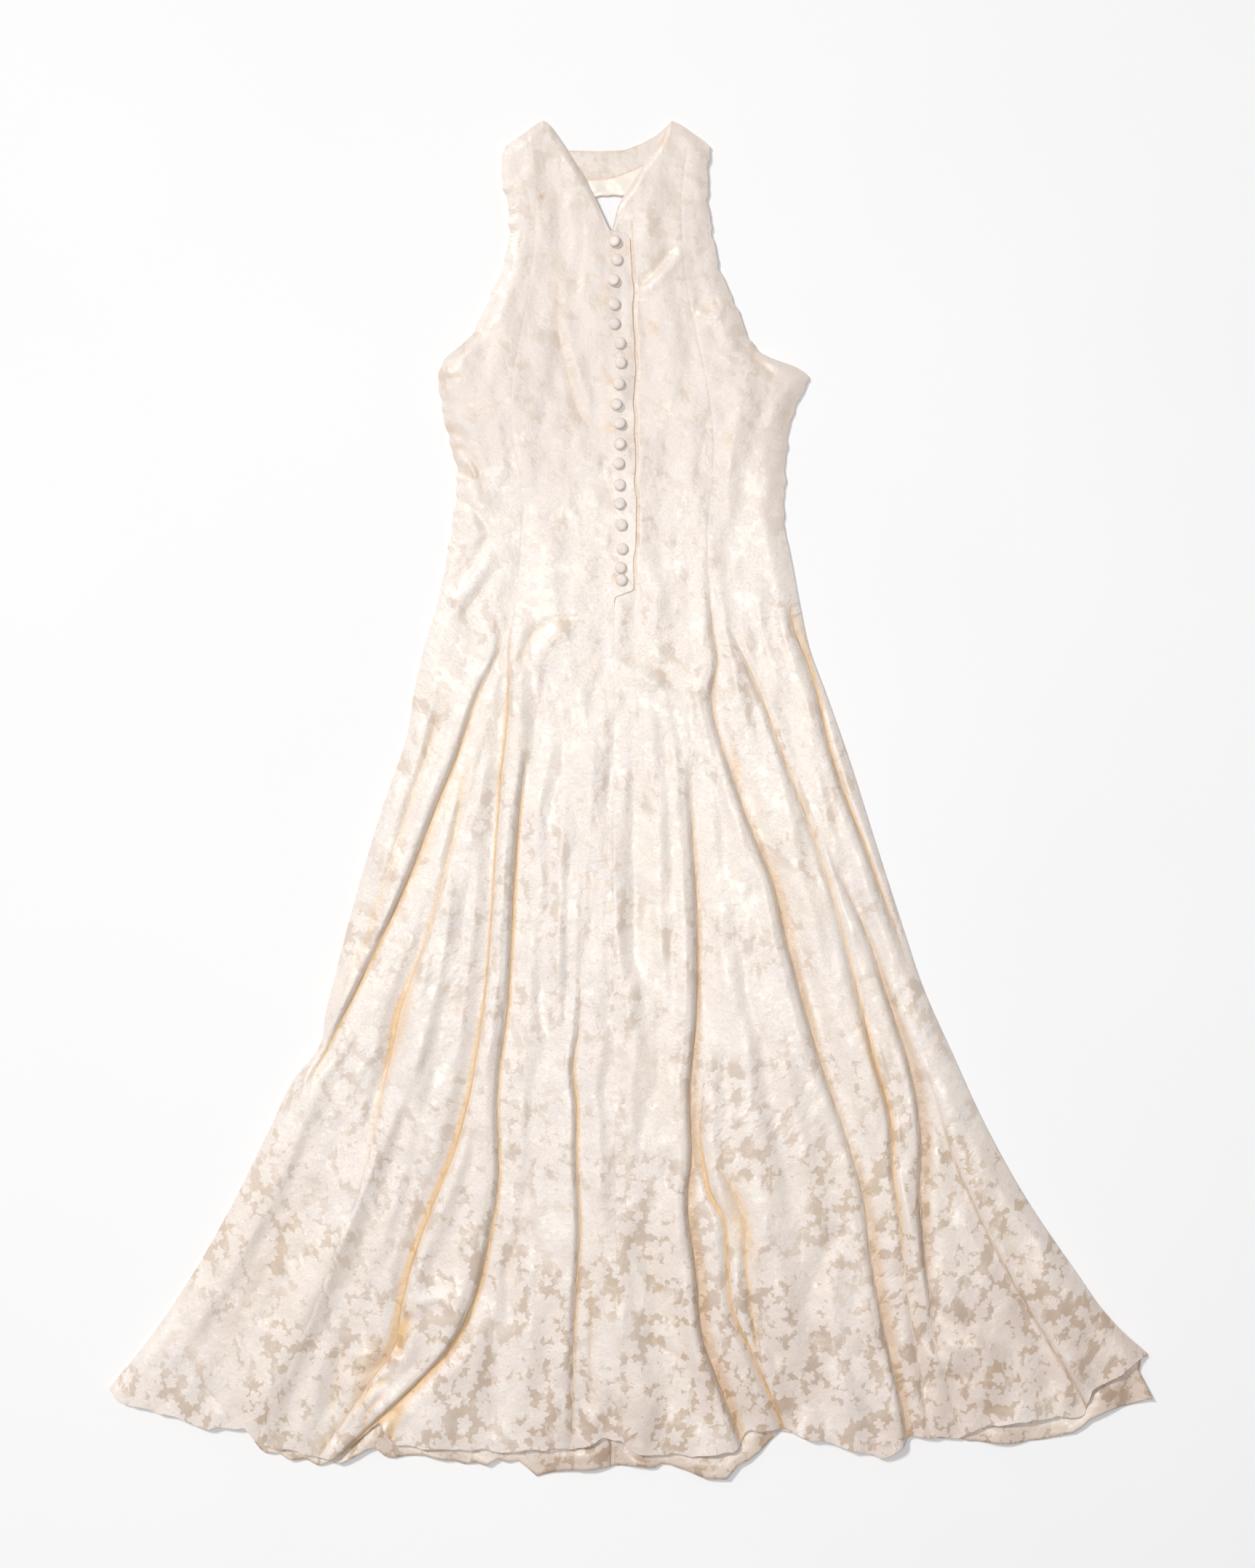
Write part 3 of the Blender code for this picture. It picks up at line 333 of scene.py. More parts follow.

# Soft folds placed one by one. A fold is a ridge, or a trough where its height is below 0; below and
# above are its widths on the two sides of its line, which are left and right where it runs down,
# and below and above where it runs to the right; the fourth value is how much glow is painted in
# its hollow
Fold = namedtuple("Fold", "height below above warm line")
FOLDS = (
    # Left skirt
    Fold(-3.0, 9, 12, .35, ((-200, 150), (-210, 112), (-232, 49), (-255, -25), (-277, -98),
         (-302, -172), (-333, -234))),
    Fold(-3.0, 7, 9, .5, ((-176, 70), (-186, 33), (-199, -41), (-218, -115), (-239, -180),
         (-258, -221))),
    Fold(3.5, 12, 8, 0, ((-196, -60), (-202, -119), (-214, -197), (-235, -287), (-264, -361),
         (-288, -418), (-309, -451))),
    Fold(4.5, 34, 16, 0, ((-296, -340), (-305, -431), (-355, -563), (-399, -673), (-425, -730))),
    Fold(3.0, 16, 14, 0, ((-330, -270), (-370, -380), (-430, -500), (-500, -620))),
    Fold(-2.5, 18, 14, .1, ((-350, -420), (-405, -520), (-470, -640))),
    Fold(2.0, 9, 14, 0, ((-233, -260), (-243, -360), (-262, -450), (-290, -540))),
    Fold(-2.4, 6, 8, .5, ((-262, -622), (-290, -640), (-318, -648))),
    Fold(-2.2, 5, 7, .6, ((-268, -645), (-292, -662), (-310, -690))),
    Fold(-1.8, 5, 6, .5, ((-275, -664), (-296, -690), (-302, -716))),
    Fold(1.6, 6, 6, 0, ((-258, -606), (-290, -622), (-330, -622))),
    Fold(2.6, 10, 12, 0, ((-196, -620), (-226, -648), (-262, -690), (-300, -730))),
    Fold(-4.0, 6, 8, .9, ((-262, -676), (-266, -700), (-272, -722), (-276, -740))),
    Fold(2.2, 12, 14, 0, ((-340, -600), (-352, -650), (-368, -700), (-376, -738))),
    Fold(-2.0, 10, 12, .2, ((-318, -600), (-330, -650), (-340, -700))),
    # Right skirt, small folds
    Fold(-2.8, 8, 10, .1, ((338, -560), (352, -580), (372, -590), (392, -588))),
    Fold(3.0, 9, 9, 0, ((342, -600), (360, -612), (380, -612), (398, -604))),
    Fold(-2.4, 8, 9, .1, ((346, -640), (364, -650), (384, -646))),
    Fold(2.4, 10, 10, 0, ((446, -520), (470, -570), (500, -620), (520, -660))),
    Fold(-2.4, 9, 10, .1, ((412, -470), (448, -540), (484, -610))),
    # Beside the right branch, and the pocket below the left seam
    Fold(-3.5, 3.5, 4.5, 1.0, ((89, -393), (101, -418), (114, -436), (123, -455), (131, -484),
         (128, -512), (132, -545), (136, -574), (139, -602), (145, -627), (152, -648))),
    Fold(-7.0, 7, 7, 1.0, ((-247, -572), (-252, -590), (-257, -606), (-263, -628))),
    Fold(3.5, 9, 8, 0, ((-244, -570), (-228, -560), (-208, -560), (-194, -574), (-192, -600))),
    # Left seam roll
    Fold(1.8, 10, 13, 0, ((-138, 60), (-140, -60), (-148, -200), (-160, -330), (-180, -450),
         (-210, -560), (-262, -650), (-320, -720))),
    # Centre left
    Fold(1.4, 10, 12, 0, ((-78, 90), (-82, -60), (-86, -200), (-96, -330), (-100, -430))),
    Fold(1.5, 8, 7, 0, ((-76, 20), (-78, -100), (-80, -220), (-82, -300))),
    Fold(-2.2, 9, 14, .15, ((-122, -470), (-133, -510), (-147, -550))),
    Fold(-2.6, 8, 12, .05, ((-140, -490), (-138, -540), (-134, -600))),
    Fold(2.0, 9, 10, 0, ((-112, -500), (-114, -590), (-120, -690))),
    Fold(-2.0, 4, 5, .25, ((-44, -540), (-44, -600), (-44, -700))),
    Fold(2.2, 6, 8, 0, ((-11, -560), (-11, -620), (-13, -700))),
    # Centre right
    Fold(-3.0, 10, 12, .1, ((-14, -465), (-6, -480), (18, -517), (45, -584), (60, -620))),
    Fold(-2.2, 6, 8, .15, ((14, -598), (36, -615), (60, -632))),
    Fold(2.4, 14, 12, 0, ((30, 60), (34, -60), (28, -200), (24, -330))),
    Fold(-2.0, 14, 14, 0, ((-2, 40), (4, -80), (2, -220))),
    Fold(2.6, 14, 8, 0, ((44, -240), (42, -330), (46, -420))),
    # Right skirt
    Fold(3.0, 24, 20, 0, ((120, -300), (136, -420), (160, -540), (190, -680))),
    Fold(-2.6, 18, 16, 0, ((176, -470), (196, -560), (226, -670))),
    Fold(-2.6, 14, 12, 0, ((118, -560), (150, -600), (168, -640))),
    Fold(-3.0, 16, 14, .1, ((300, -500), (318, -580), (338, -700))),
    Fold(3.0, 12, 12, 0, ((392, -600), (400, -640), (396, -690))),
    Fold(-2.4, 14, 14, 0, ((430, -560), (462, -620), (480, -680))),
    Fold(2.8, 16, 14, 0, ((220, -560), (238, -620), (250, -700))),
    Fold(2.6, 12, 14, 0, ((150, 90), (166, 0), (180, -90), (190, -160))),
    Fold(-2.6, 12, 12, .1, ((120, 60), (142, -20), (168, -110), (182, -190))),
    Fold(2.4, 12, 14, 0, ((148, -190), (168, -280), (190, -370), (200, -430))),
    Fold(-2.4, 9, 12, .1, ((236, -470), (230, -490), (215, -520), (206, -560))),
    Fold(2.6, 12, 10, 0, ((256, -230), (284, -320), (306, -400))),
    Fold(2.6, 16, 16, 0, ((300, -420), (322, -520), (350, -600))),
    Fold(-2.4, 12, 10, 0, ((330, -590), (345, -608), (366, -604), (384, -616))),
    Fold(3.0, 18, 16, 0, ((372, -360), (420, -450), (470, -540), (520, -630))),
    Fold(-2.0, 14, 14, 0, ((400, -480), (440, -560), (474, -650))),
    Fold(2.2, 16, 16, 0, ((196, 60), (226, -30), (254, -120))),
    # Hips
    Fold(-2.4, 7, 7, .25, ((-124, 140), (-120, 165), (-112, 184), (-96, 198), (-75, 203),
         (-48, 205))),
    Fold(1.8, 8, 8, 0, ((-108, 140), (-100, 168), (-84, 184), (-60, 188))),
    Fold(-2.2, 9, 9, .15, ((-14, 162), (10, 158), (34, 146), (58, 118))),
    Fold(1.8, 9, 9, 0, ((-10, 142), (14, 138), (34, 124))),
    Fold(-2.0, 6, 8, .1, ((-153, 310), (-165, 288), (-180, 264), (-212, 236))),
    Fold(-1.6, 6, 8, .1, ((-148, 262), (-166, 236), (-196, 196))),
    Fold(2.6, 7, 9, 0, ((-150, 282), (-172, 250), (-204, 216))),
    Fold(2.4, 5, 7, 0, ((-132, 200), (-146, 150), (-162, 96))),
    Fold(2.0, 6, 6, 0, ((104, 230), (110, 170), (122, 120), (140, 60))),
    Fold(-1.6, 6, 6, .1, ((80, 130), (86, 112), (98, 108), (104, 122))),
    Fold(2.0, 7, 9, 0, ((140, 240), (150, 180), (170, 110))),
    # Bust and waist
    Fold(-1.5, 8, 9, .2, ((-88, 610), (-84, 594), (-80, 520), (-66, 468), (-55, 430), (-19, 411))),
    Fold(1.2, 8, 7, 0, ((-74, 560), (-68, 510), (-54, 470), (-40, 440))),
    Fold(-1.5, 10, 12, .05, ((-91, 717), (-79, 664), (-83, 590))),
    Fold(-2.6, 5, 7, .25, ((2, 573), (22, 590), (52, 628))),
    Fold(2.0, 6, 6, 0, ((12, 566), (34, 586), (64, 622))),
    Fold(-1.8, 6, 7, .15, ((70, 560), (86, 556), (104, 560))),
    Fold(1.6, 6, 6, 0, ((72, 548), (90, 544), (108, 546))),
    Fold(-2.2, 6, 8, .15, ((118, 520), (130, 508), (146, 490), (168, 474))),
    Fold(2.0, 6, 8, 0, ((128, 532), (144, 512), (164, 492))),
    Fold(-1.8, 6, 6, .15, ((-212, 420), (-196, 414), (-180, 396))),
    Fold(-2.0, 5, 7, .2, ((-208, 402), (-192, 396), (-172, 374), (-164, 340))),
    Fold(1.8, 6, 7, 0, ((-206, 386), (-188, 380), (-170, 356))),
    Fold(-1.8, 5, 6, .2, ((-206, 370), (-188, 368), (-168, 356))),
    Fold(-1.6, 6, 6, .1, ((-196, 340), (-176, 326), (-158, 300))),
    Fold(-2.0, 6, 8, .15, ((176, 462), (184, 448), (178, 430), (170, 414))),
    Fold(1.5, 10, 10, 0, ((-150, 450), (-146, 400), (-138, 350))),
    Fold(1.4, 9, 9, 0, ((118, 480), (116, 420), (110, 360), (106, 300))),
    Fold(-1.4, 9, 9, 0, ((60, 420), (52, 380), (30, 360))),
    Fold(1.2, 9, 9, 0, ((-70, 400), (-50, 380), (-28, 376))),
    Fold(-1.2, 8, 8, 0, ((-110, 330), (-90, 318), (-60, 322))),
)
LINE_STEPS = 14
FOLD_FADE = 0.22

# Fine unevenness of the cloth: wave across, wave along, height, phase
RIPPLES = (
    (61, 340, .45, .3), (47, -260, .34, 1.9), (83, 510, .55, 4.1), (37, 190, .20, 2.7),
    (29, -150, .12, 5.2), (-53, 120, .25, .8), (23, 95, .07, 3.3), (140, 75, .30, 1.2),
    (-31, 64, .12, 4.7), (19, -80, .05, 2.2), (70, 43, .16, 5.9), (-27, 31, .06, 1.1))

# Soft gores of the skirt, which fan out with it: how many from side to side, height at the hem,
# phase, how far they sway, the length over which they sway and its phase
GORES = (
    (7.3, 1.6, 0.6, 0.5, 710, 0.3), (11.6, 1.5, 2.9, 0.6, 590, 1.9), (17.2, 1.0, 4.4, 0.7, 430, 3.3),
    (26.4, 0.55, 1.1, 0.8, 370, 5.2), (38.7, 0.25, 3.7, 1.0, 280, 2.6))
GORE_TOP, GORE_FULL = 330.0, -300.0
GORE_LEAST = 0.05

# Old stains: x, y, radius, strength
STAINS = (
    (-99.6, 677.9, 1.6, 1.0), (25, 529, 6, .35), (22, 536, 3, .5), (-26, 575, 5, .35),
    (-27, 560, 5, .3), (-22, 470, 5, .4), (-24, 446, 6, .3), (-23, 419, 6, .45), (-22, 330, 5, .3),
    (-16, 247, 6, .3), (34, 742, 9, .3), (-10, 616, 6, .25), (110, 405, 9, .2), (-32, 610, 5, .2))

# Rows of the front pieces: shares of the way from the top edge, heights, shares down to the hem
KNEE, ANKLE = 508.0, -574.0
UPPER_ROWS, MIDDLE_ROWS, LOWER_ROWS = 92, 400, 62
TOP_GUESS, HEM_GUESS = 720.0, -660.0
EDGE_STEPS = 40
EDGE_SOFTEN = 2.5

# Waves of the edges: wavelength, height, phase; and where those of the two sides begin
HEM_WAVES = ((43, .9, .4), (27, .6, 2.1), (71, .8, 4.4), (15, .3, 1.0))
PLACKET_WAVES = ((47, .5, .7), (29, .3, 3.0), (90, .8, 5.0))
EDGE_WAVES = ((37, .9, .9), (19, .6, 3.6), (13, .25, 5.1), (7.1, .14, .2))
EDGE_SHIFT = 90.0
LEFT_WAVE_FOOT, RIGHT_WAVE_FOOT = (200.0, 320.0), (260.0, 340.0)

# How the border of a cloth piece is turned under: outward and downward steps
FREE_TURN = ((0.04, -0.01), (0.3, -0.3), (0.35, -0.8), (0.1, -1.15), (-2.0, -1.3), (-9.0, -1.4))
SEAM_TURN = ((0.02, -0.004), (0.04, -0.5), (0.0, -1.1), (-0.8, -1.5))
BACK_TURN = ((0.1, -0.6), (0.0, -1.3))
NECK_TURN = (((0.1, -0.4),), ((0.3, -0.3), (0.3, -0.8)), None, None)


def curve(rows, at, column=1):
    """Smooth curve through a table whose first column falls, read at the heights `at`."""
    table = np.array(rows, dtype=float)[::-1]
    knots, values = table[:, 0], table[:, column]
    slopes = np.gradient(values, knots)
    at = np.clip(at, knots[0], knots[-1])
    k = np.clip(np.searchsorted(knots, at) - 1, 0, len(knots) - 2)
    span = knots[k + 1] - knots[k]
    t = (at - knots[k]) / span
    start, end = values[k], values[k + 1]
    return ((1 + 2 * t) * (1 - t) ** 2 * start + t * (1 - t) ** 2 * span * slopes[k]
            + t * t * (3 - 2 * t) * end - t * t * (1 - t) * span * slopes[k + 1])


def straight(rows, at):
    """Straight runs through a table whose first column rises, read at `at`."""
    table = np.array(rows, dtype=float)
    return np.interp(at, table[:, 0], table[:, 1])


def softened(rows, at):
    """A table of (x, y) read at `at` as the mean of three places, so that its corners are round."""
    return (straight(rows, at - EDGE_SOFTEN) + straight(rows, at)
            + straight(rows, at + EDGE_SOFTEN)) / 3


def waves(rows, at):
    """Sum of sines of `at`: each row is a wavelength, a height and a phase."""
    return sum(height * np.sin(2 * math.pi * at / length + phase) for length, height, phase in rows)


def ramp(value, start, end):
    """0 at start, 1 at end, and a smooth S between."""
    t = np.clip((value - start) / (end - start), 0.0, 1.0)
    return t * t * (3 - 2 * t)


def rounded(share):
    """Parabola: 0 at an edge, 1 from one rounding away."""
    share = np.clip(share, 0.0, 1.0)
    return 1 - (1 - share) ** 2


def left_edge(y):
    """x of the left outline: its table, with small sines from the waist up."""
    return curve(LEFT_EDGE, y) + waves(EDGE_WAVES, y) * ramp(y, *LEFT_WAVE_FOOT)


def right_edge(y):
    """x of the right outline: its table, with small sines from the waist up."""
    return curve(RIGHT_EDGE, y) + waves(EDGE_WAVES, y + EDGE_SHIFT) * ramp(y, *RIGHT_WAVE_FOOT)


def left_seam(y):
    """x of the left princess seam, a smooth curve through its table."""
    return curve(LEFT_SEAM, y)


def right_seam(y):
    """x of the right princess seam, a smooth curve through its table."""
    return curve(RIGHT_SEAM, y)


def overlap_edge(y):
    """Right edge of the left front: the button overlap, its slanting foot, then the seam."""
    y = np.asarray(y, dtype=float)
    above = placket_line(y) - 1.0
    below = curve(FRONT_SEAM, np.minimum(y, PLACKET_FOOT[1]))
    slant = np.clip((y - PLACKET_FOOT[1]) / (PLACKET_FOOT[0] - PLACKET_FOOT[1]), 0.0, 1.0)
    return below + (above - below) * slant


def underlap_edge(y):
    """Left edge of the right front: hidden under the buttons, then the seam below them."""
    y = np.asarray(y, dtype=float)
    seam = curve(FRONT_SEAM, np.minimum(y, PLACKET_FOOT[1])) + 2 * SEAM_MEET
    return np.where(y > PLACKET_FOOT[1] + 1.0, UNDERLAP_EDGE, seam)


def placket_line(y):
    """Line where the right front dives under the overlap."""
    above = np.maximum(y, PLACKET_FOOT[0])
    return curve(PLACKET_EDGE, above) + waves(PLACKET_WAVES, above) + 1.0


def panel_sides(crease):
    """The two lines between which a crease's line keeps its share above the hip."""
    if crease in (LEFT_OUTER, LEFT_INNER):
        return left_edge, left_seam
    if crease in (ROLL_EDGE, MIDDLE):
        return left_seam, overlap_edge
    if crease in (RIGHT_MIDDLE, RIGHT_BRANCH):
        return placket_line, right_seam
    return right_seam, right_edge


def crease_line(crease, y):
    """Where a crease runs; above its first row it eases over to its share of the piece."""
    first, place = crease.rows[0][:2]
    left, right = panel_sides(crease)
    above = np.maximum(y, first)
    shared = left(above) + crease.share * (right(above) - left(above))
    start = left(first) + crease.share * (right(first) - left(first))
    eased = shared + (place - start) * (1 - ramp(above, first, first + SHARE_FADE))
    return np.where(y > first, eased, curve(crease.rows, np.minimum(y, first)))


def crease_value(crease, y, column):
    """Depth (column 2) or glow width (column 3) of a crease along its length."""
    first = crease.rows[0][0]
    value = np.interp(-np.asarray(y, dtype=float), [-row[0] for row in crease.rows],
                      [row[column] for row in crease.rows])
    return np.where(y > first, 0.0, value)


def rest_height(x, y):
    """Height of the puffed cloth before creases: the middle rise and the soft swells."""
    height = curve(REST_HEIGHT, y)
    for swell in SWELLS:
        away = ((x - swell.x) / swell.half_width) ** 2 + ((y - swell.y) / swell.half_length) ** 2
        height = height + swell.rise * np.exp(-away)
    return height


def smooth_line(points):
    """Points (x, y) evenly spaced along a smooth curve through the given ones."""
    given = np.array(points, dtype=float)
    step = np.hypot(*np.diff(given, axis=0).T)
    at = np.concatenate([[0.0], np.cumsum(step)])
    rows = np.column_stack([-at, given])
    place = -np.linspace(0.0, at[-1], LINE_STEPS)
    return np.stack([curve(rows, place, 1), curve(rows, place, 2)], axis=-1)


def fold_shape(x, y, fold):
    """Height and painted glow of one soft fold over x, y.

    The height is a bell of the distance from the fold's line, wider on one side than on the
    other, and fades in and out smoothly over the first and last FOLD_FADE of the line.
    """
    line = smooth_line(fold.line)
    reach = 2.6 * max(fold.below, fold.above)
    low, high = line.min(axis=0) - reach, line.max(axis=0) + reach
    near = (x > low[0]) & (x < high[0]) & (y > low[1]) & (y < high[1])
    px, py = x[near], y[near]
    best = np.full(px.shape, np.inf)
    side = np.zeros_like(best)
    place = np.zeros_like(best)
    for k in range(len(line) - 1):
        ax, ay = line[k]
        dx, dy = line[k + 1] - line[k]
        t = np.clip(((px - ax) * dx + (py - ay) * dy) / (dx * dx + dy * dy), 0.0, 1.0)
        ex, ey = px - ax - t * dx, py - ay - t * dy
        away = np.hypot(ex, ey)
        closer = away < best
        best = np.where(closer, away, best)
        side = np.where(closer, dx * ey - dy * ex, side)
        place = np.where(closer, (k + t) / (len(line) - 1), place)
    width = np.where(side > 0, fold.above, fold.below)
    bell = np.exp(-(best / width) ** 1.7)
    bell = bell * ramp(place, 0.0, FOLD_FADE) * (1 - ramp(place, 1 - FOLD_FADE, 1.0))
    height, warm = np.zeros_like(x), np.zeros_like(x)
    height[near] = fold.height * bell
    warm[near] = fold.warm * np.exp(-(best / width * 1.6) ** 2) * bell
    return height, warm


def seam_shape(y, away):
    """Sink of a stitched line and the puckers beside it, by the distance from the seam."""
    sink = -SEAM_SINK * np.exp(-(away / SEAM_WIDTH) ** 2)
    beat = np.sin(2 * math.pi * y / PUCKER_PITCH + 1.7 * np.sin(y / 23.0))
    return sink + PUCKER_HEIGHT * beat * np.exp(-(away / PUCKER_WIDTH) ** 2)


def gore_height(x, y):
    """Soft gores: sines of the share of the way across the gown, which sway and swell along it."""
    left, right = left_edge(y), right_edge(y)
    share = (x - left) / (right - left)
    height = np.zeros_like(share)
    for count, rise, phase, sway, length, turn in GORES:
        wander = sway * np.sin(y / length * 2 * math.pi + turn)
        swell = 0.65 + 0.35 * np.sin(y / (0.7 * length) * 2 * math.pi + 2 * turn + 3 * share)
        height = height + rise * swell * np.sin(2 * math.pi * count * share + phase + wander)
    return height * (GORE_LEAST + (1 - GORE_LEAST) * ramp(y, GORE_TOP, GORE_FULL))


def front_surface(x, y, top_edge):
    """Outer face of the front over the plan place (x, y), with its hidden cloth and its tones.

    The resting height takes the soft folds and ripples. Every crease then pulls it down to
    CREASE_HEIGHT: over ROLL_WIDTH on the side of the upper layer, whose lip leans out over it,
    and over its reach on the lower layer's side. Gives points, hidden cloth across, painted glow,
    painted shade.
    """
    height = rest_height(x, y)
    warm = np.zeros_like(height)
    for fold in FOLDS:
        rise, glow = fold_shape(x, y, fold)
        height = height + rise
        warm = np.maximum(warm, glow)
    for middle_x, middle_y, across, along, drift, strength in GLOWS:
        aside = (x - middle_x + drift * (y - middle_y)) / across
        warm = np.maximum(warm, strength * np.exp(-aside ** 2 - ((y - middle_y) / along) ** 2))
    for across, along, rise, phase in RIPPLES:
        height = height + rise * np.sin(2 * math.pi * (x / across + y / along) + phase)
    height = height + gore_height(x, y)
    seams = np.minimum(np.abs(x - left_seam(y)), np.abs(x - right_seam(y)))
    height = height + seam_shape(y, seams)
    middle = np.abs(x - curve(FRONT_SEAM, y)) + SEAM_FAR * ramp(y, *FRONT_SEAM_TOP)
    height = height + seam_shape(y, middle)
    kept = np.ones_like(height)
    shift, hidden, shade = np.zeros_like(height), np.zeros_like(height), np.zeros_like(height)
    for crease in CREASES:
        depth = crease_value(crease, y, 2)
        glow = np.maximum(crease_value(crease, y, 3), GLOW_LEAST)
        over = (x - crease_line(crease, y)) * crease.upper_side
        width = np.where(over > 0, ROLL_WIDTH, crease.reach)
        drop = 0.5 + 0.5 * np.cos(math.pi * np.clip(np.abs(over) / width, 0.0, 1.0))
        kept = kept * (1 - CREASE_SHARE * depth * drop)
        height = height + crease.rise * depth * np.exp(-((over - SWELL_PLACE) / SWELL_WIDTH) ** 2)
        lip = np.exp(-((over - LIP_PLACE) / LIP_WIDTH) ** 2)
        shift = shift - crease.upper_side * crease.lean * LEAN_GAIN * depth * lip
        hidden = hidden + HIDDEN_CLOTH * depth * crease.upper_side * ramp(over, *HIDDEN_SPAN)
        # Painted glow and painted shade beside the crease; gold splits the tone between them
        near = np.where(over > 0, over / GLOW_ON_ROLL, over / (GLOW_SHARE * glow))
        beside = depth ** 1.2 * np.exp(-near ** 4)
        warm = np.maximum(warm, crease.gold * beside)
        shade = np.maximum(shade, SHADE_GAIN * (1 - crease.gold) * beside)
    z = CREASE_HEIGHT + (height - CREASE_HEIGHT) * kept
    inside = np.minimum(x - left_edge(y), right_edge(y) - x)
    side = EDGE_HEIGHT + (NECK_EDGE_HEIGHT - EDGE_HEIGHT) * ramp(y, *ARMHOLE_RISE)
    z = side + (z - side) * rounded(inside / EDGE_ROUND)
    shift = shift * ramp(inside, 0.0, EDGE_ROUND)
    near_edge = 1 - rounded((straight(top_edge, x) - y) / NECK_ROUND)
    if top_edge is FRONT_TOP_LEFT:
        near_edge = near_edge * (1 - ramp(x, *OVERLAP_RISE))
        band = ramp(x, overlap_edge(y) - PLACKET_WIDTH, overlap_edge(y) - 2)
        z = z + PLACKET_RAISE * band * ramp(y, *PLACKET_START)
    z = z + (NECK_EDGE_HEIGHT - z) * near_edge
    points = np.stack([x + shift, y + np.zeros_like(x), z], axis=-1)
    return points, hidden, warm, shade


def under_overlap(points):
    """Lower the right front where it passes under the buttoned overlap."""
    x, y = points[..., 0], points[..., 1]
    across = 1 - ramp(x, placket_line(y), placket_line(y) + UNDERLAP_RAMP)
    along = ramp(y, UNDERLAP_TOP[0], UNDERLAP_TOP[1]) * (1 - ramp(y, *UNDERLAP_FOOT))
    lowered = points.copy()
    lowered[..., 2] -= UNDERLAP_DROP * across * along
    return lowered


def graded(count):
    """Shares from 0 to 1, three times closer together at both ends than in the middle."""
    t = np.linspace(0.0, 1.0, count + 1)
    return t - 0.5 * np.sin(2 * math.pi * t) / (2 * math.pi)


def own_places(lines, y):
    """x of each column of a piece at its own height; the last axis of y has the columns.

    Lines: (line of y, number of columns up to it). A column keeps its share between two lines.
    """
    parts, start = [], 0
    for k in range(1, len(lines)):
        share = graded(lines[k][1])[min(k - 1, 1):]
        at = y[..., start:start + len(share)]
        left, right = lines[k - 1][0](at), lines[k][0](at)
        parts.append(left + (right - left) * share)
        start += len(share)
    return np.concatenate(parts, axis=-1)


def meet_edge(lines, edge, start):
    """Height at which each column meets an edge (a function of x), found by stepping to it."""
    count = 1 + sum(line[1] for line in lines)
    heights = np.full((1, count), float(start))
    for _ in range(EDGE_STEPS):
        heights = (heights + edge(own_places(lines, heights))) / 2
    return heights[0]


def piece_plan(lines, top, hem):
    """Plan places x, y of a front piece, as rows from its top edge to its hem."""
    top_y = meet_edge(lines, top, TOP_GUESS)
    hem_y = meet_edge(lines, hem, HEM_GUESS)
    upper = np.linspace(0.0, 1.0, UPPER_ROWS, endpoint=False)[:, None] ** 1.15
    middle = np.linspace(KNEE, ANKLE, MIDDLE_ROWS)[:, None]
    lower = 1 - (1 - np.linspace(0.0, 1.0, LOWER_ROWS + 1)[1:, None]) ** 1.2
    y = np.concatenate([
        top_y + (KNEE - top_y) * upper,
        np.broadcast_to(middle, (MIDDLE_ROWS, len(top_y))),
        ANKLE + (hem_y - ANKLE) * lower])
    return own_places(lines, y), y


def turned_under(grid, edges):
    """A grid of points with its border turned under: outward and down steps beyond each side.

    Edges gives the steps at the top, bottom, left and right, or None. A step's outward part runs
    in the plan, away from the row or column just inside the border.
    """
    def border(points, steps):
        """Rows beyond the first one, by their steps outward and down."""
        away = points[0] - points[3]
        away[..., 2] = 0.0
        away /= np.maximum(np.linalg.norm(away, axis=-1, keepdims=True), 1e-6)
        down = np.array([0.0, 0.0, 1.0])
        return np.stack([points[0] + away * out + down * sink for out, sink in steps[::-1]])

    top, bottom, left, right = edges
    if top:
        grid = np.concatenate([border(grid, top), grid])
    if bottom:
        grid = np.concatenate([grid, border(grid[::-1], bottom)[::-1]])
    across = grid.transpose(1, 0, 2)
    if left:
        across = np.concatenate([border(across, left), across])
    if right:
        across = np.concatenate([across, border(across[::-1], right)[::-1]])
    return across.transpose(1, 0, 2)


def padded_like(values, edges):
    """Values on a grid, repeated over the rows and columns that turned_under adds."""
    counts = [len(steps) if steps else 0 for steps in edges]
    return np.pad(values, (counts[:2], counts[2:], (0, 0)), mode="edge")


def cut_places(points, hidden, origin, lean=0.0):
    """Where each point lies on the flat cut cloth, in metres: the cloth's length across from the
    middle column and its height along the gown, turned by the angle at which the piece was cut."""
    flat_x = points[..., [0, 2]]
    step = np.linalg.norm(np.diff(flat_x, axis=1), axis=-1)
    across = np.concatenate([np.zeros((len(step), 1)), np.cumsum(step, axis=1)], axis=1)
    middle = points.shape[1] // 2
    across = across - across[:, middle:middle + 1] + points[:, middle:middle + 1, 0]
    across = across + hidden - hidden[:, middle:middle + 1]
    along = points[..., 1]
    turn, side = math.cos(lean), math.sin(lean)
    return np.stack([across * turn - along * side + origin[0],
                     across * side + along * turn + origin[1]], axis=-1) * MM


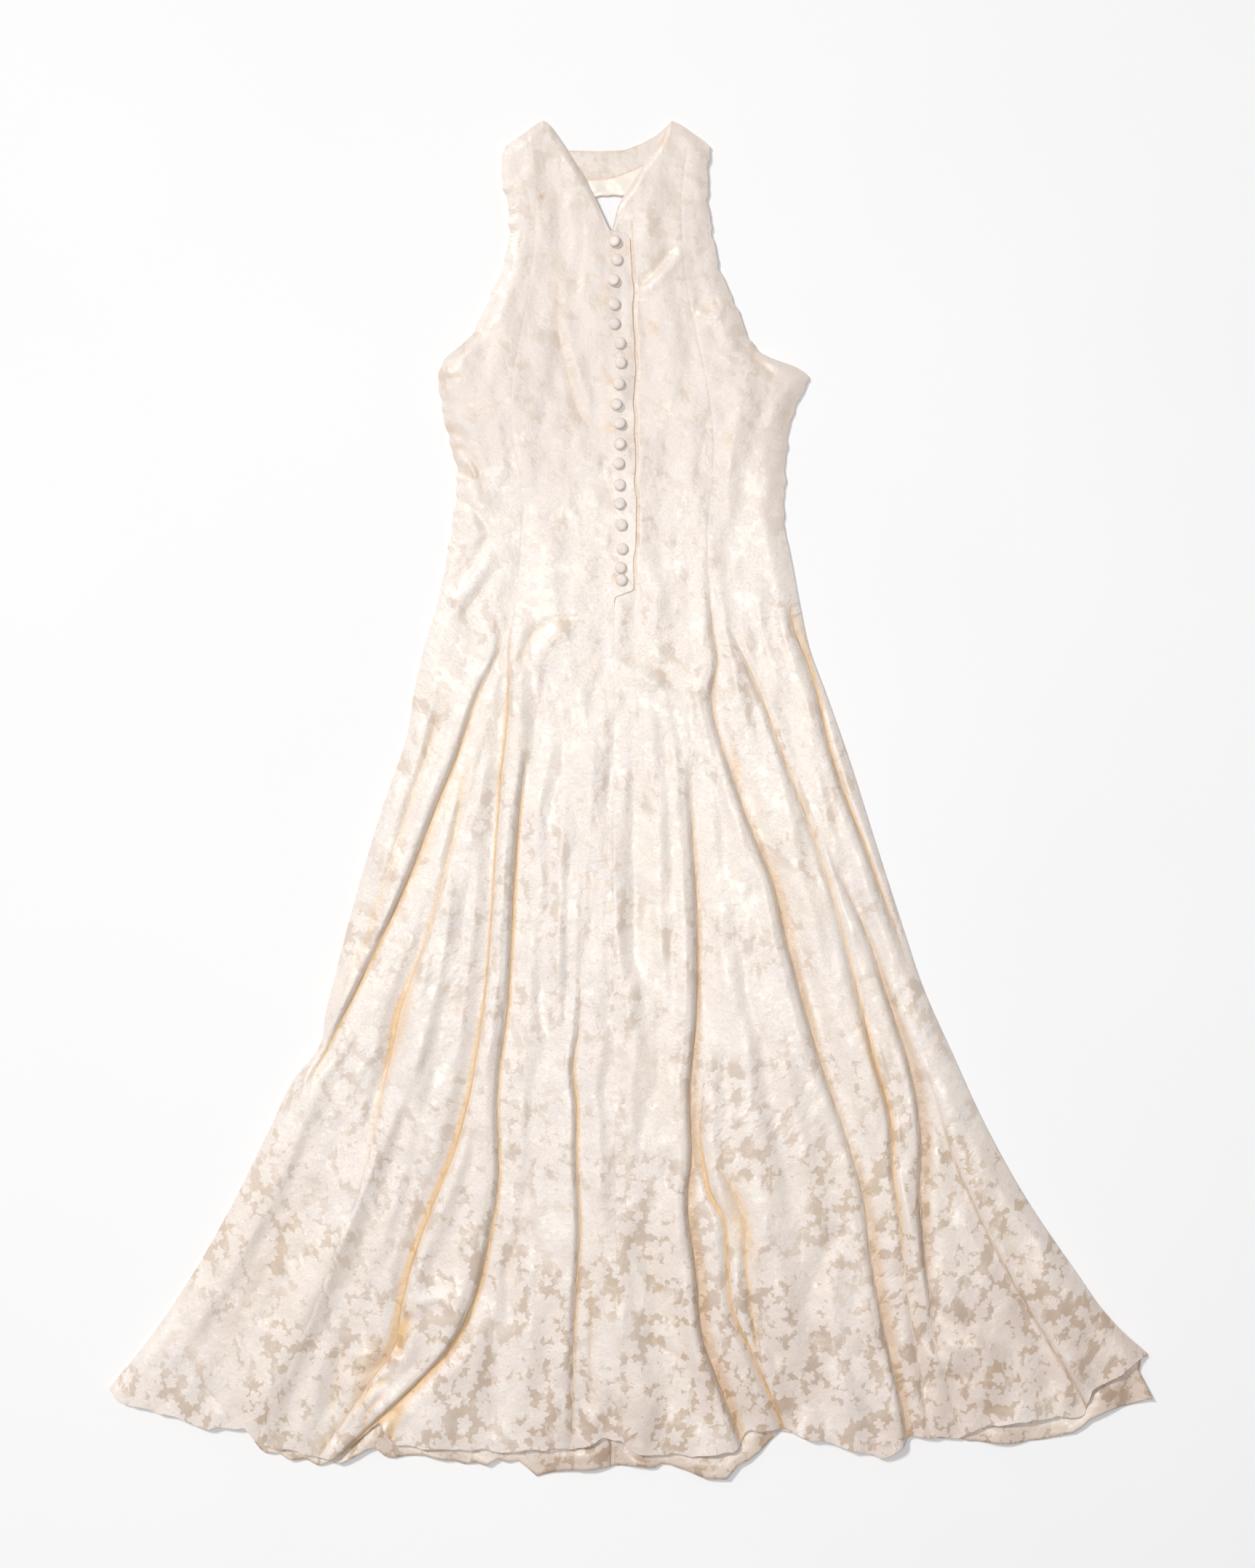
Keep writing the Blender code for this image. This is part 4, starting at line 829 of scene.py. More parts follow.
def grid_mesh(name, points, cut=None, tones=None, closed_round=False):
    """One smooth mesh from a grid of points in millimetres, faces up, with its cut places as UVs.

    Tones are three values a point: the painted glow of a crease, its painted shade and stains.
    """
    rows, columns = points.shape[:2]
    index = np.arange(rows * columns).reshape(rows, columns)
    if closed_round:
        index = np.concatenate([index, index[:, :1]], axis=1)
    quads = np.stack([index[:-1, :-1], index[1:, :-1], index[1:, 1:], index[:-1, 1:]],
                     axis=-1).reshape(-1, 4)
    mesh = bpy.data.meshes.new(name)
    mesh.vertices.add(rows * columns)
    mesh.vertices.foreach_set("co", (points * MM).astype(np.float32).ravel())
    mesh.loops.add(quads.size)
    mesh.loops.foreach_set("vertex_index", quads.astype(np.int32).ravel())
    mesh.polygons.add(len(quads))
    mesh.polygons.foreach_set("loop_start", np.arange(0, quads.size, 4, dtype=np.int32))
    mesh.polygons.foreach_set("use_smooth", np.ones(len(quads), dtype=bool))
    mesh.update(calc_edges=True)
    if cut is not None:
        layer = mesh.uv_layers.new(name="cut")
        layer.data.foreach_set("uv", cut.reshape(-1, 2)[quads.ravel()].astype(np.float32).ravel())
    if tones is not None:
        colour = np.concatenate([tones.reshape(-1, 3), np.ones((rows * columns, 1))], axis=1)
        layer = mesh.color_attributes.new("tone", "FLOAT_COLOR", "POINT")
        layer.data.foreach_set("color", colour.astype(np.float32).ravel())
    mesh.validate()
    made = bpy.data.objects.new(name, mesh)
    bpy.context.scene.collection.objects.link(made)
    return made


def finish_piece(made, material, replaced):
    """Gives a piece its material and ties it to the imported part."""
    made.data.materials.append(material)
    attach(made, "root")
    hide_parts(replaced)
    return made


def close_below(piece):
    """Gives a sheet a thin wall below its face, so that its underside is closed too."""
    solid = piece.modifiers.new("wall", "SOLIDIFY")
    solid.thickness = SHEET_WALL * MM
    solid.offset = -1.0


def cloth_piece(name, points, cut, tones, borders, material,
                replaced=None, walled=False):
    """A cloth piece from the grid of its outer face.

    The border is turned under by its steps, and the cut places and the three tones are repeated
    over it. Nothing lies lower than LEAST_HEIGHT above the surface.
    """
    outer = turned_under(points, borders)
    outer[..., 2] = np.maximum(outer[..., 2], LEAST_HEIGHT)
    tones = np.stack(tones, axis=-1)
    piece = grid_mesh(name, outer, padded_like(cut, borders), padded_like(tones, borders))
    if walled:
        close_below(piece)
    return finish_piece(piece, material, replaced or name.replace("silk_", ""))


def stain_tone(points):
    """Strength of the old stains over a grid of points: soft spots."""
    tone = np.zeros(points.shape[:2])
    for x, y, radius, strength in STAINS:
        away = ((points[..., 0] - x) ** 2 + (points[..., 1] - y) ** 2) / radius ** 2
        tone = np.maximum(tone, strength * np.exp(-away))
    return tone


def crease_guide(crease):
    """The line of a crease as a function of the height alone."""
    return partial(crease_line, crease)


def moved(line, distance):
    """A line moved across by a distance, so that two pieces meet with a gap."""
    return lambda y: line(y) + distance


def front_pieces():
    """Name, top edge, guide lines with their columns, turned borders, cut origin and cut lean."""
    half = SEAM_MEET
    free, seam = FREE_TURN, SEAM_TURN
    return (
        ("silk_front_side_left", FRONT_TOP_LEFT, (
            (left_edge, 0), (crease_guide(LEFT_OUTER), 46), (crease_guide(LEFT_INNER), 40),
            (moved(left_seam, -half), 50)), (free, free, free, seam), (310, 90), -0.36),
        ("silk_front_centre_left", FRONT_TOP_LEFT, (
            (moved(left_seam, half), 0), (crease_guide(ROLL_EDGE), 42), (crease_guide(MIDDLE), 44),
            (overlap_edge, 42)), (free, free, seam, seam), (0, 0), -0.08),
        ("silk_front_centre_right", FRONT_TOP_RIGHT, (
            (underlap_edge, 0), (placket_line, 14), (crease_guide(RIGHT_MIDDLE), 46),
            (crease_guide(RIGHT_BRANCH), 30), (moved(right_seam, -half), 46)),
         (free, free, seam, seam), (640, 350), 0.08),
        ("silk_front_side_right", FRONT_TOP_RIGHT, (
            (moved(right_seam, half), 0), (crease_guide(RIGHT_SHARP), 28),
            (crease_guide(RIGHT_DROP), 28), (crease_guide(RIGHT_LOW), 28),
            (crease_guide(RIGHT_OUTER), 30), (right_edge, 26)),
         (free, free, seam, free), (1210, 170), 0.36),
    )


def hem_line(x):
    """Front hem: its table with round corners and small waves."""
    return softened(FRONT_HEM, x) + waves(HEM_WAVES, x)


def build_front(silk):
    """The four silk pieces of the front."""
    made = {}
    for name, top_edge, lines, borders, origin, lean in front_pieces():
        x, y = piece_plan(lines, lambda at, edge=top_edge: softened(edge, at), hem_line)
        points, hidden, warm, shade = front_surface(x, y, top_edge)
        if name == "silk_front_centre_right":
            points = under_overlap(points)
            # Painted warm glow in a line beside the overlap's edge
            beside = (x - placket_line(y)) / PLACKET_GLOW_WIDTH
            along = ramp(y, *PLACKET_GLOW_FOOT) * (1 - ramp(y, *PLACKET_GLOW_TOP))
            warm = np.maximum(warm, PLACKET_GLOW * np.exp(-beside ** 2) * along)
        cut = cut_places(points, hidden, origin, lean)
        tones = (warm, shade, stain_tone(points))
        made[name] = cloth_piece(name, points, cut, tones, borders, silk)
    return made


def keyhole_half(y):
    """Half width of the keyhole at a height: a flat top and a drop that closes to a point."""
    t = np.clip((KEYHOLE_TOP - y) / (KEYHOLE_TOP - KEYHOLE_FOOT), 0.0, 1.0)
    half = KEYHOLE_HALF_WIDTH * np.sqrt(1 - t ** 2.2)
    return np.where(y > KEYHOLE_TOP, 0.0, half) + SEAM_GAP / 2


def back_right_edge(y):
    """Right side of the back: under the front's, then down to the tip that peeps out."""
    tip = straight([(y, x) for x, y in BACK_RIGHT_TIP], y)
    return np.where(y > BACK_RIGHT_TIP[-1][1], right_edge(y) - BACK_INSET, tip)


def back_pieces():
    """Name, left line, right line, cut origin and cut lean of each back piece."""
    half = SEAM_GAP / 2
    return (
        ("silk_back_side_left", moved(left_edge, BACK_INSET), moved(left_seam, -half),
         (300, 1700), -0.36),
        ("silk_back_centre_left", moved(left_seam, half),
         lambda y: KEYHOLE_MIDDLE - keyhole_half(y), (0, 1900), 0.0),
        ("silk_back_centre_right", lambda y: KEYHOLE_MIDDLE + keyhole_half(y),
         moved(right_seam, -half), (700, 1800), 0.0),
        ("silk_back_side_right", moved(right_seam, half), back_right_edge,
         (1100, 1600), 0.36),
    )


def back_top(x):
    """Top edge of the back: its table with round corners."""
    return softened(BACK_TOP, x)


def back_hem(x):
    """Hem of the back: its table with round corners and half the front hem's waves."""
    return softened(BACK_HEM, x) + 0.5 * waves(HEM_WAVES, x + 200)


def back_rows(top_y, hem_y):
    """Heights of a back piece's points: even rows from its top edge, bands, rows to its hem."""
    first, last = BACK_ROWS[0][0], BACK_ROWS[-1][1]
    bands = [np.linspace(start, end, count)[1:, None] for start, end, count in BACK_ROWS]
    bands = np.broadcast_to(np.concatenate(bands), (sum(map(len, bands)), len(top_y)))
    upper = np.linspace(0, 1, BACK_TOP_ROWS)[:, None]
    lower = np.linspace(0, 1, BACK_HEM_ROWS)[1:, None]
    return np.concatenate([top_y + (first - top_y) * upper, bands, last + (hem_y - last) * lower])


def build_back(silk):
    """The four back pieces: flat, with a hem that lifts by slow sines where it peeps out."""
    made = {}
    for name, left, right, origin, lean in back_pieces():
        lines = ((left, 0), (right, BACK_COLUMNS))
        y = back_rows(meet_edge(lines, back_top, TOP_GUESS),
                      meet_edge(lines, back_hem, BACK_HEM_GUESS))
        x = own_places(lines, y)
        beyond = ramp(softened(FRONT_HEM, x) - y, *BACK_LIFT_SPAN)
        curl = 0.55 + 0.45 * np.sin(x / 13.0 + 1.3 * np.sin(x / 31.0))
        z = BACK_WALL + BACK_LIFT * beyond * curl
        points = np.stack([x, y, z], axis=-1)
        cut = cut_places(points, np.zeros_like(z), origin, lean)
        # Painted glow and painted shade where the hem peeps out beyond the front's
        tones = (BACK_GLOW * beyond, BACK_SHADE * beyond, np.zeros_like(z))
        made[name] = cloth_piece(name, points, cut, tones, (BACK_TURN,) * 4, silk, walled=True)
    return made


def build_neck(silk, satin):
    """Facing and satin strip across the inside of the back neck.

    Three slow sines that slant across the strip ripple it, most in the middle of its width and
    only inside the open neck. The strip's foot hangs in small sines.
    """
    made = {}
    strips = (
        ("silk_neck_facing", FACING_TOP, FACING_FOOT, silk, "figured_silk", "back_neck_facing",
         0.5, 0.3),
        ("satin_neck_strip", FACING_FOOT, LINING_FOOT, satin, "satin_lining", "back_neck_lining",
         2.4, 0.0))
    for name, top, foot, material, slot, replaced, relief, drop in strips:
        x = np.linspace(FACING_TOP[0][0], FACING_TOP[-1][0], NECK_COLUMNS)[None, :]
        share = np.linspace(0.0, 1.0, NECK_ROWS)[:, None]
        upper, lower = softened(top, x), softened(foot, x) + drop
        if material is satin:
            lower = lower + 1.1 * np.sin(x / 5.2) + 0.8 * np.sin(x / 2.9 + 1.0)
        y = upper + (lower - upper) * share
        x = np.broadcast_to(x, y.shape)
        window = np.exp(-((x - NECK_WINDOW[0]) / NECK_WINDOW[1]) ** 4)
        ripple = (np.sin(x / 7.5 + 2.2 * share + 1.1) + 0.8 * np.sin(x / 4.1 - 3.0 * share)
                  + 0.7 * np.sin(x / 12.0 + 5.0 * share + 2.0))
        z = BACK_WALL + SEAM_GAP + NECK_WALL + 0.3 * window
        z = z + relief * window * (0.35 + 0.34 * ripple) * np.sin(math.pi * share) ** 0.5
        points = np.stack([x, y, z], axis=-1)
        none = np.zeros_like(z)
        # Painted warm glow along the foot and top edges of each strip
        glow = 0.35 * np.exp(-((share - 1) / NECK_GLOW_WIDTH) ** 2)
        glow = glow + 0.25 * np.exp(-(share / NECK_GLOW_WIDTH) ** 2) + none
        cut = cut_places(points, none, (500, 900), 0.1)
        made[name] = cloth_piece(
            name, points, cut, (glow, none, none), NECK_TURN, material, replaced)
    return made


def button_grid(tip, bearing):
    """A covered dome turned about its axis, then tipped over.

    Along the profile, an angle runs from the middle of the underside over the rim to the crown:
    the radius is a rounded sine of it and the height a flattened cosine. The cloth gathers at
    the rim in small scallops.
    """
    turn = np.linspace(0.0, 2 * math.pi, BUTTON_SIDES, endpoint=False)[None, :]
    angle = np.linspace(-0.5 * math.pi, 0.5 * math.pi, BUTTON_RINGS)[:, None]
    radius = BUTTON_RADIUS * np.cos(angle) ** 0.5
    rise = np.abs(np.sin(angle))
    height = BUTTON_HEIGHT * np.where(
        angle > 0, BUTTON_CROWN * rise ** 1.1, -BUTTON_BASE * rise ** 0.8)
    scallop = np.sin(GATHERS * turn + bearing) * np.exp(-((angle + 0.15) / 0.4) ** 2)
    radius = radius * (1 + GATHER_DEPTH * scallop)
    points = np.stack([radius * np.cos(turn), radius * np.sin(turn), height + 0 * turn], axis=-1)
    axis, lean = math.radians(bearing), math.radians(tip * BUTTON_LEAN)
    along = points[..., 0] * math.cos(axis) + points[..., 1] * math.sin(axis)
    tilted = along * math.cos(lean) + points[..., 2] * math.sin(lean)
    points[..., 2] = points[..., 2] * math.cos(lean) - along * math.sin(lean)
    points[..., 0] += (tilted - along) * math.cos(axis)
    points[..., 1] += (tilted - along) * math.sin(axis)
    return points


def merge_poles(made):
    """Joins the points that lie together at the two ends of a round grid, so that it is closed."""
    form = bmesh.new()
    form.from_mesh(made.data)
    bmesh.ops.remove_doubles(form, verts=form.verts, dist=0.001 * MM)
    form.to_mesh(made.data)
    form.free()


def build_buttons(covered):
    """Eighteen covered buttons on the overlap, each tipped as it lies."""
    for number, (x, y, tip, bearing) in enumerate(BUTTONS, start=1):
        seat = front_surface(np.array([[float(x)]]), np.array([[float(y)]]), FRONT_TOP_LEFT)[0]
        points = button_grid(tip, bearing)
        points += np.array([x, y, 0.0])
        points[..., 2] += seat[0, 0, 2] + SEAM_GAP - points[..., 2].min()
        name = f"button_{number:02d}"
        piece = grid_mesh(f"covered_{name}", points[::-1], closed_round=True)
        merge_poles(piece)
        finish_piece(piece, covered, name)


def linear(code):
    """A colour written as six hex digits in sRGB, as linear red, green, blue and 1."""
    parts = [int(code[k:k + 2], 16) / 255 for k in (0, 2, 4)]
    return [part / 12.92 if part <= 0.04045 else ((part + 0.055) / 1.055) ** 2.4
            for part in parts] + [1.0]


def fill(tree, made, values):
    """Gives a node's inputs, by number or name, their values: an output is linked."""
    for key, value in values:
        if isinstance(value, bpy.types.NodeSocket):
            tree.links.new(value, made.inputs[key])
        elif value is not None:
            made.inputs[key].default_value = value


def node(tree, kind, *inputs, named=None, **settings):
    """Adds a node with its settings, its inputs in order and by name. Gives its outputs."""
    made = tree.nodes.new("ShaderNode" + kind)
    for key, value in settings.items():
        setattr(made, key, value)
    fill(tree, made, [*enumerate(inputs), *(named or {}).items()])
    return made.outputs


def new_material(name):
    """An empty material, a function that adds a node to it and one that fills its shader."""
    material = bpy.data.materials.new(name)
    material.use_nodes = True
    tree = material.node_tree
    shader = tree.nodes["Principled BSDF"]
    return material, partial(node, tree), lambda values: fill(tree, shader, values.items())


# Settings that many nodes share
SMOOTH = {"interpolation_type": "SMOOTHSTEP"}
PLANE = {"noise_dimensions": "2D"}
CELLS = {"voronoi_dimensions": "2D"}

# Figures of the weave. Sizes are in metres: cell is how far apart they are, reach how long a lobe
# is at most, waist how far in it is between two lobes, power how pointed the lobes are, shift
# which part of the endless pattern is used and scatter how uneven the cells are
Figure = namedtuple("Figure", "cell reach lobes waist power shift scatter")
LEAF = Figure(0.029, 0.0125, 5, 0.46, 0.8, (0.11, 0.37, 0), 0.75)
BLOOM = Figure(0.023, 0.0084, 5, 0.50, 0.6, (0.53, 0.19, 0), 0.75)
PETAL = Figure(0.0122, 0.0079, 9, 0.62, 0.8, (0.27, 0.71, 0), 0.95)
FIGURE_LEAST, FIGURE_SPREAD = 0.72, 0.45
FIGURE_EDGE = 0.6 * MM
HEAD_CELL, HEAD_SCATTER, HEAD_EDGE = 0.078, 0.85, (0.37, 0.34)
RAG_SCALE, LEAF_RAG, PETAL_RAG = 170.0, 5.0 * MM, 9.0 * MM

# Painted shine and shade: the gown is painted duller towards its lower right corner, where its satin
# is taken to mirror no lamp, and then painted darker: how far a place counts as lower by its x, and
# by the clouds of haze, and the spans in metres over which it turns dull and then darker
DULL_LEAN, DULL_HAZE = -0.27, 0.32
DULL_SPAN, FAR_SPAN = (-0.06, -0.69), (-0.56, -0.76)
BODICE_SPAN = (0.24, 0.44)


def motif(add, place, figure):
    """Mask of one figure in each cell of a Voronoi pattern, 1 inside and 0 outside.

    A point is inside where its distance from the cell's own point is less than the reach times
    waist + (1 - waist) x lobe^power. Lobe goes from 0 between two lobes to 1 at a tip, and each
    cell turns and sizes its figure by its own random colour. Gives the mask and the lobe.
    """
    spot = add("VectorMath", place, figure.shift, operation="ADD")[0]
    cells = add("TexVoronoi", **CELLS, named={
        "Vector": spot, "Scale": 1 / figure.cell, "Randomness": figure.scatter})
    away = add("VectorMath", spot, cells["Position"], operation="SUBTRACT")[0]
    part = add("SeparateXYZ", away)
    angle = add("Math", part[1], part[0], operation="ARCTAN2")[0]
    chance = add("SeparateColor", cells["Color"])
    steps = add("Math", angle, figure.lobes / (2 * math.pi), operation="MULTIPLY")[0]
    steps = add("Math", steps, chance[0], operation="ADD")[0]
    lobe = add("Math", steps, 0.5, operation="PINGPONG")[0]
    lobe = add("Math", lobe, 2.0, operation="MULTIPLY")[0]
    tip = add("Math", lobe, figure.power, operation="POWER")[0]
    size = add("Math", chance[1], FIGURE_SPREAD, FIGURE_LEAST, operation="MULTIPLY_ADD")[0]
    edge = add("Math", tip, 1 - figure.waist, figure.waist, operation="MULTIPLY_ADD")[0]
    edge = add("Math", edge, size, operation="MULTIPLY")[0]
    edge = add("Math", edge, figure.reach, operation="MULTIPLY")[0]
    distance = add("VectorMath", away, operation="LENGTH")["Value"]
    inside = add("Math", edge, distance, operation="SUBTRACT")[0]
    return add("MapRange", inside, -FIGURE_EDGE, FIGURE_EDGE, **SMOOTH)[0], lobe


def woven_figure(add, uv):
    """Masks of the woven figure and of its own marks, and the places it is drawn with.

    Leaves and small blossoms lie scattered, ragged petals fill the large flower heads, and thin
    broken stems trail between them where a slow noise crosses its middle. The marks are the
    leaves' veins, at the tips of their lobes, and the petals' outlines, between theirs.
    """
    rag = add("TexNoise", **PLANE, named={"Vector": uv, "Scale": RAG_SCALE, "Detail": 2.0})[1]
    rag = add("VectorMath", rag, (0.5, 0.5, 0.5), operation="SUBTRACT")[0]
    leafy, ragged = (
        add("VectorMath", uv, add("VectorMath", rag, named={"Scale": size}, operation="SCALE")[0],
            operation="ADD")[0] for size in (LEAF_RAG, PETAL_RAG))
    leaf, leaf_lobe = motif(add, leafy, LEAF)
    bloom, _ = motif(add, leafy, BLOOM)
    petal, petal_lobe = motif(add, ragged, PETAL)
    heads = add("TexVoronoi", **CELLS, named={
        "Vector": ragged, "Scale": 1 / HEAD_CELL, "Randomness": HEAD_SCATTER})
    cluster = add("MapRange", heads["Distance"], *HEAD_EDGE, **SMOOTH)[0]
    cluster = add("Math", cluster, petal, operation="MULTIPLY")[0]
    trail = add("TexNoise", **PLANE, named={"Vector": uv, "Scale": 26.0, "Detail": 0.5})[0]
    trail = add("Math", trail, 0.5, operation="SUBTRACT")[0]
    trail = add("Math", trail, operation="ABSOLUTE")[0]
    stem = add("MapRange", trail, 0.010, 0.004, **SMOOTH)[0]
    broken = add("TexNoise", **PLANE, named={"Vector": leafy, "Scale": 30.0, "Detail": 0.0})[0]
    broken = add("MapRange", broken, 0.60, 0.66)[0]
    figure = add("Math", stem, broken, operation="MULTIPLY")[0]
    for part in (leaf, bloom, cluster):
        figure = add("Math", figure, part, operation="MAXIMUM")[0]
    vein = add("MapRange", leaf_lobe, 0.90, 0.97, **SMOOTH)[0]
    vein = add("Math", vein, leaf, operation="MULTIPLY")[0]
    outline = add("MapRange", petal_lobe, 0.12, 0.0, **SMOOTH)[0]
    outline = add("Math", outline, cluster, operation="MULTIPLY")[0]
    return figure, add("Math", vein, outline, operation="MAXIMUM")[0], ragged


def figured_silk():
    """Silk jacquard, woven: a satin ground that shines and a matte figure of leaves and flowers.

    The satin floats lie smooth, so the ground mirrors the lamp softly, and its shine is also
    painted:
    lighter towards the upper left and in streaks, grey-beige towards the lower right; the figure's
    broken weave scatters light and looks milky from everywhere. In the hollow of a crease a gold
    glow is painted, as tint and emission, beside painted shade.
    """
    material, add, fill_shader = new_material("silk jacquard, satin ground and matte figure")
    uv = add("UVMap", uv_map="cut")[0]
    figure, marks, ragged = woven_figure(add, uv)
    place = add("TexCoord")["Object"]

    # How aged and hazy each place is, and how dull and far down for the painted shine and shade, 0
    # to 1
    age = add("TexNoise", named={"Vector": place, "Scale": 6.0, "Detail": 3.0})[0]
    age = add("MapRange", age, 0.42, 0.68, **SMOOTH)[0]
    haze = add("TexNoise", noise_dimensions="4D", named={
        "Vector": place, "Scale": 9.0, "Detail": 3.0, "W": 3.0})[0]
    haze = add("MapRange", haze, 0.45, 0.66, **SMOOTH)[0]
    axes = add("SeparateXYZ", place)
    sunk = add("Math", axes[0], DULL_LEAN, axes[1], operation="MULTIPLY_ADD")[0]
    sunk = add("Math", haze, DULL_HAZE, sunk, operation="MULTIPLY_ADD")[0]
    dull = add("MapRange", sunk, *DULL_SPAN, **SMOOTH)[0]
    far = add("MapRange", sunk, *FAR_SPAN, **SMOOTH)[0]
    bodice = add("MapRange", axes[1], *BODICE_SPAN, **SMOOTH)[0]

    # The ground: its satin painted lighter where taken to mirror the lamp and darker where not, with
    # painted highlight streaks where the floats catch the light
    sheen_lit_ground = add("MixRGB", age, linear("DFD1C5"), linear("E0D0C1"))[0]
    unlit_ground = add("MixRGB", age, linear("CCB9A8"), linear("CDB8A2"))[0]
    ground = add("MixRGB", dull, sheen_lit_ground, unlit_ground)[0]
    stretched = add("VectorMath", ragged, (1.0, 0.36, 1.0), operation="MULTIPLY")[0]
    streak = add("TexNoise", **PLANE, named={
        "Vector": stretched, "Scale": 48.0, "Detail": 3.0, "Roughness": 0.6})[0]
    streak = add("MapRange", streak, 0.50, 0.61, 0.0, 0.85)[0]
    wide = add("TexNoise", named={"Vector": place, "Scale": 11.0, "Detail": 2.0})[0]
    wide = add("MapRange", wide, 0.46, 0.60, 0.0, 0.8, **SMOOTH)[0]
    bright = add("MapRange", dull, 0.85, 0.15)[0]
    wide = add("Math", wide, bright, operation="MULTIPLY")[0]
    streak = add("Math", streak, wide, operation="MAXIMUM")[0]
    calm = add("Math", bodice, -0.6, 1.0, operation="MULTIPLY_ADD")[0]
    streak = add("Math", streak, calm, operation="MULTIPLY")[0]
    ground = add("MixRGB", streak, ground, linear("F5ECE4"))[0]

    # The figure, then over both the painted glow and painted shade of creases, the stains, and
    # painted shade towards the lower right
    floats = add("TexNoise", **PLANE, named={
        "Vector": uv, "Scale": 320.0, "Detail": 3.0, "Roughness": 0.6})[0]
    floats = add("MapRange", floats, 0.42, 0.62, 0.0, 0.5)[0]
    raised = add("MixRGB", age, linear("F4EAE2"), linear("F4E8DC"))[0]
    # The figure's tones: haze clouds, the bodice, painted shade where the ground is painted dull,
    # the weave's floats and its marks
    for share, code in ((haze, "EEE5E0"), (bodice, "E9DDD5"), (dull, "EADDD4"),
                        (floats, "E0D5CC"), (marks, "E2D7CC")):
        raised = add("MixRGB", share, raised, linear(code))[0]
    colour = add("MixRGB", figure, ground, raised)[0]
    tone = add("SeparateColor", add("Attribute", attribute_name="tone")["Color"])
    # Tone red: painted glow; tone green: painted shade; tone blue: stains; far: painted shade
    for share, code, blend in (
            (tone[0], "EFD2A2", "MULTIPLY"), (tone[1], "CDB69C", "MULTIPLY"),
            (tone[2], "DDAA70", "MIX"), (far, "F3EFED", "MULTIPLY")):
        colour = add("MixRGB", share, colour, linear(code), blend_type=blend)[0]
    # Painted glow: the crease glow tone also emits, so the cloth shines there with no lamp
    through = add("MixRGB", tone[0], linear("000000"), linear("4C3A20"))[0]

    # Fine crumples of the cloth, and the figure's slight relief
    crush = add("TexNoise", **PLANE, named={
        "Vector": uv, "Scale": 38.0, "Detail": 4.0, "Roughness": 0.52})[0]
    relief = add("Math", crush, 1.7, operation="MULTIPLY")[0]
    relief = add("Math", figure, 0.05, relief, operation="MULTIPLY_ADD")[0]
    relief = add("Math", marks, -0.02, relief, operation="MULTIPLY_ADD")[0]
    bump = add("Bump", named={"Strength": 1.0, "Distance": 1.0 * MM, "Height": relief})[0]
    fill_shader({
        "Base Color": colour, "Emission Color": through, "Emission Strength": 1.0,
        "Roughness": add("MapRange", figure, 0.0, 1.0, 0.38, 0.48)[0],
        "Specular IOR Level": 0.9, "Subsurface Weight": 0.15,
        "Subsurface Radius": (1.0, 0.62, 0.4), "Subsurface Scale": 1.6 * MM,
        "Sheen Weight": 0.05, "Sheen Roughness": 0.4, "Normal": bump})
    return material


def satin_lining():
    """Ivory acetate satin, woven: smooth floats with a bright soft shine and a few crumples."""
    material, add, fill_shader = new_material("ivory acetate satin, woven")
    uv = add("UVMap", uv_map="cut")[0]
    cloud = add("TexNoise", named={"Vector": uv, "Scale": 60.0, "Detail": 3.0})[0]
    colour = add("MixRGB", cloud, linear("FCF5EC"), linear("F4EADC"))[0]
    tone = add("SeparateColor", add("Attribute", attribute_name="tone")["Color"])
    # Painted warm glow along the strip's edges, from the tone's glow
    colour = add("MixRGB", tone[0], colour, linear("D9B384"))[0]
    crush = add("TexNoise", named={"Vector": uv, "Scale": 90.0, "Detail": 3.0})[0]
    bump = add("Bump", named={"Strength": 0.8, "Distance": 0.6 * MM, "Height": crush})[0]
    fill_shader({"Base Color": colour, "Roughness": 0.30, "Specular IOR Level": 0.65,
                 "Normal": bump})
    return material


def covered_button_cloth():
    """Silk satin drawn tight over a mould: a dull pearl face with fine threads and grey wear."""
    material, add, fill_shader = new_material("silk satin over a button mould")
    place = add("TexCoord")["Object"]
    cloud = add("TexNoise", named={"Vector": place, "Scale": 160.0, "Detail": 4.0})[0]
    cloud = add("MapRange", cloud, 0.35, 0.65)[0]
    colour = add("MixRGB", cloud, linear("EBE1DA"), linear("DFD4CB"))[0]
    threads = add("TexNoise", named={"Vector": place, "Scale": 700.0, "Detail": 2.0})[0]
    bump = add("Bump", named={"Strength": 0.5, "Distance": 0.15 * MM, "Height": threads})[0]
    fill_shader({"Base Color": colour, "Roughness": 0.5, "Specular IOR Level": 0.5,
                 "Normal": bump})
    return material


# Half the side of the paper, in metres
FLOOR_HALF = 6.0


def paper_floor():
    """White seamless background paper, matte, with the faintest tooth."""
    material, add, fill_shader = new_material("white background paper, matte")
    place = add("TexCoord")["Object"]
    tooth = add("TexNoise", named={"Vector": place, "Scale": 3.0, "Detail": 2.0})[0]
    colour = add("MixRGB", tooth, linear("F9F9F9"), linear("F6F6F7"))[0]
    fill_shader({"Base Color": colour, "Roughness": 0.9, "Specular IOR Level": 0.1})
    floor = bpy.data.objects.new("paper_floor", bpy.data.meshes.new("paper_floor"))
    half = FLOOR_HALF
    floor.data.from_pydata([(-half, -half, 0), (half, -half, 0), (half, half, 0), (-half, half, 0)],
                           [], [(0, 1, 2, 3)])
    floor.data.materials.append(material)
    bpy.context.scene.collection.objects.link(floor)

# The photograph's frame on the surface, in millimetres: its middle and its height
VIEW_MIDDLE = (-3.3, 18.0)
VIEW_HEIGHT = 1767.0
CAMERA_HEIGHT = 3300.0
SENSOR = 36.0

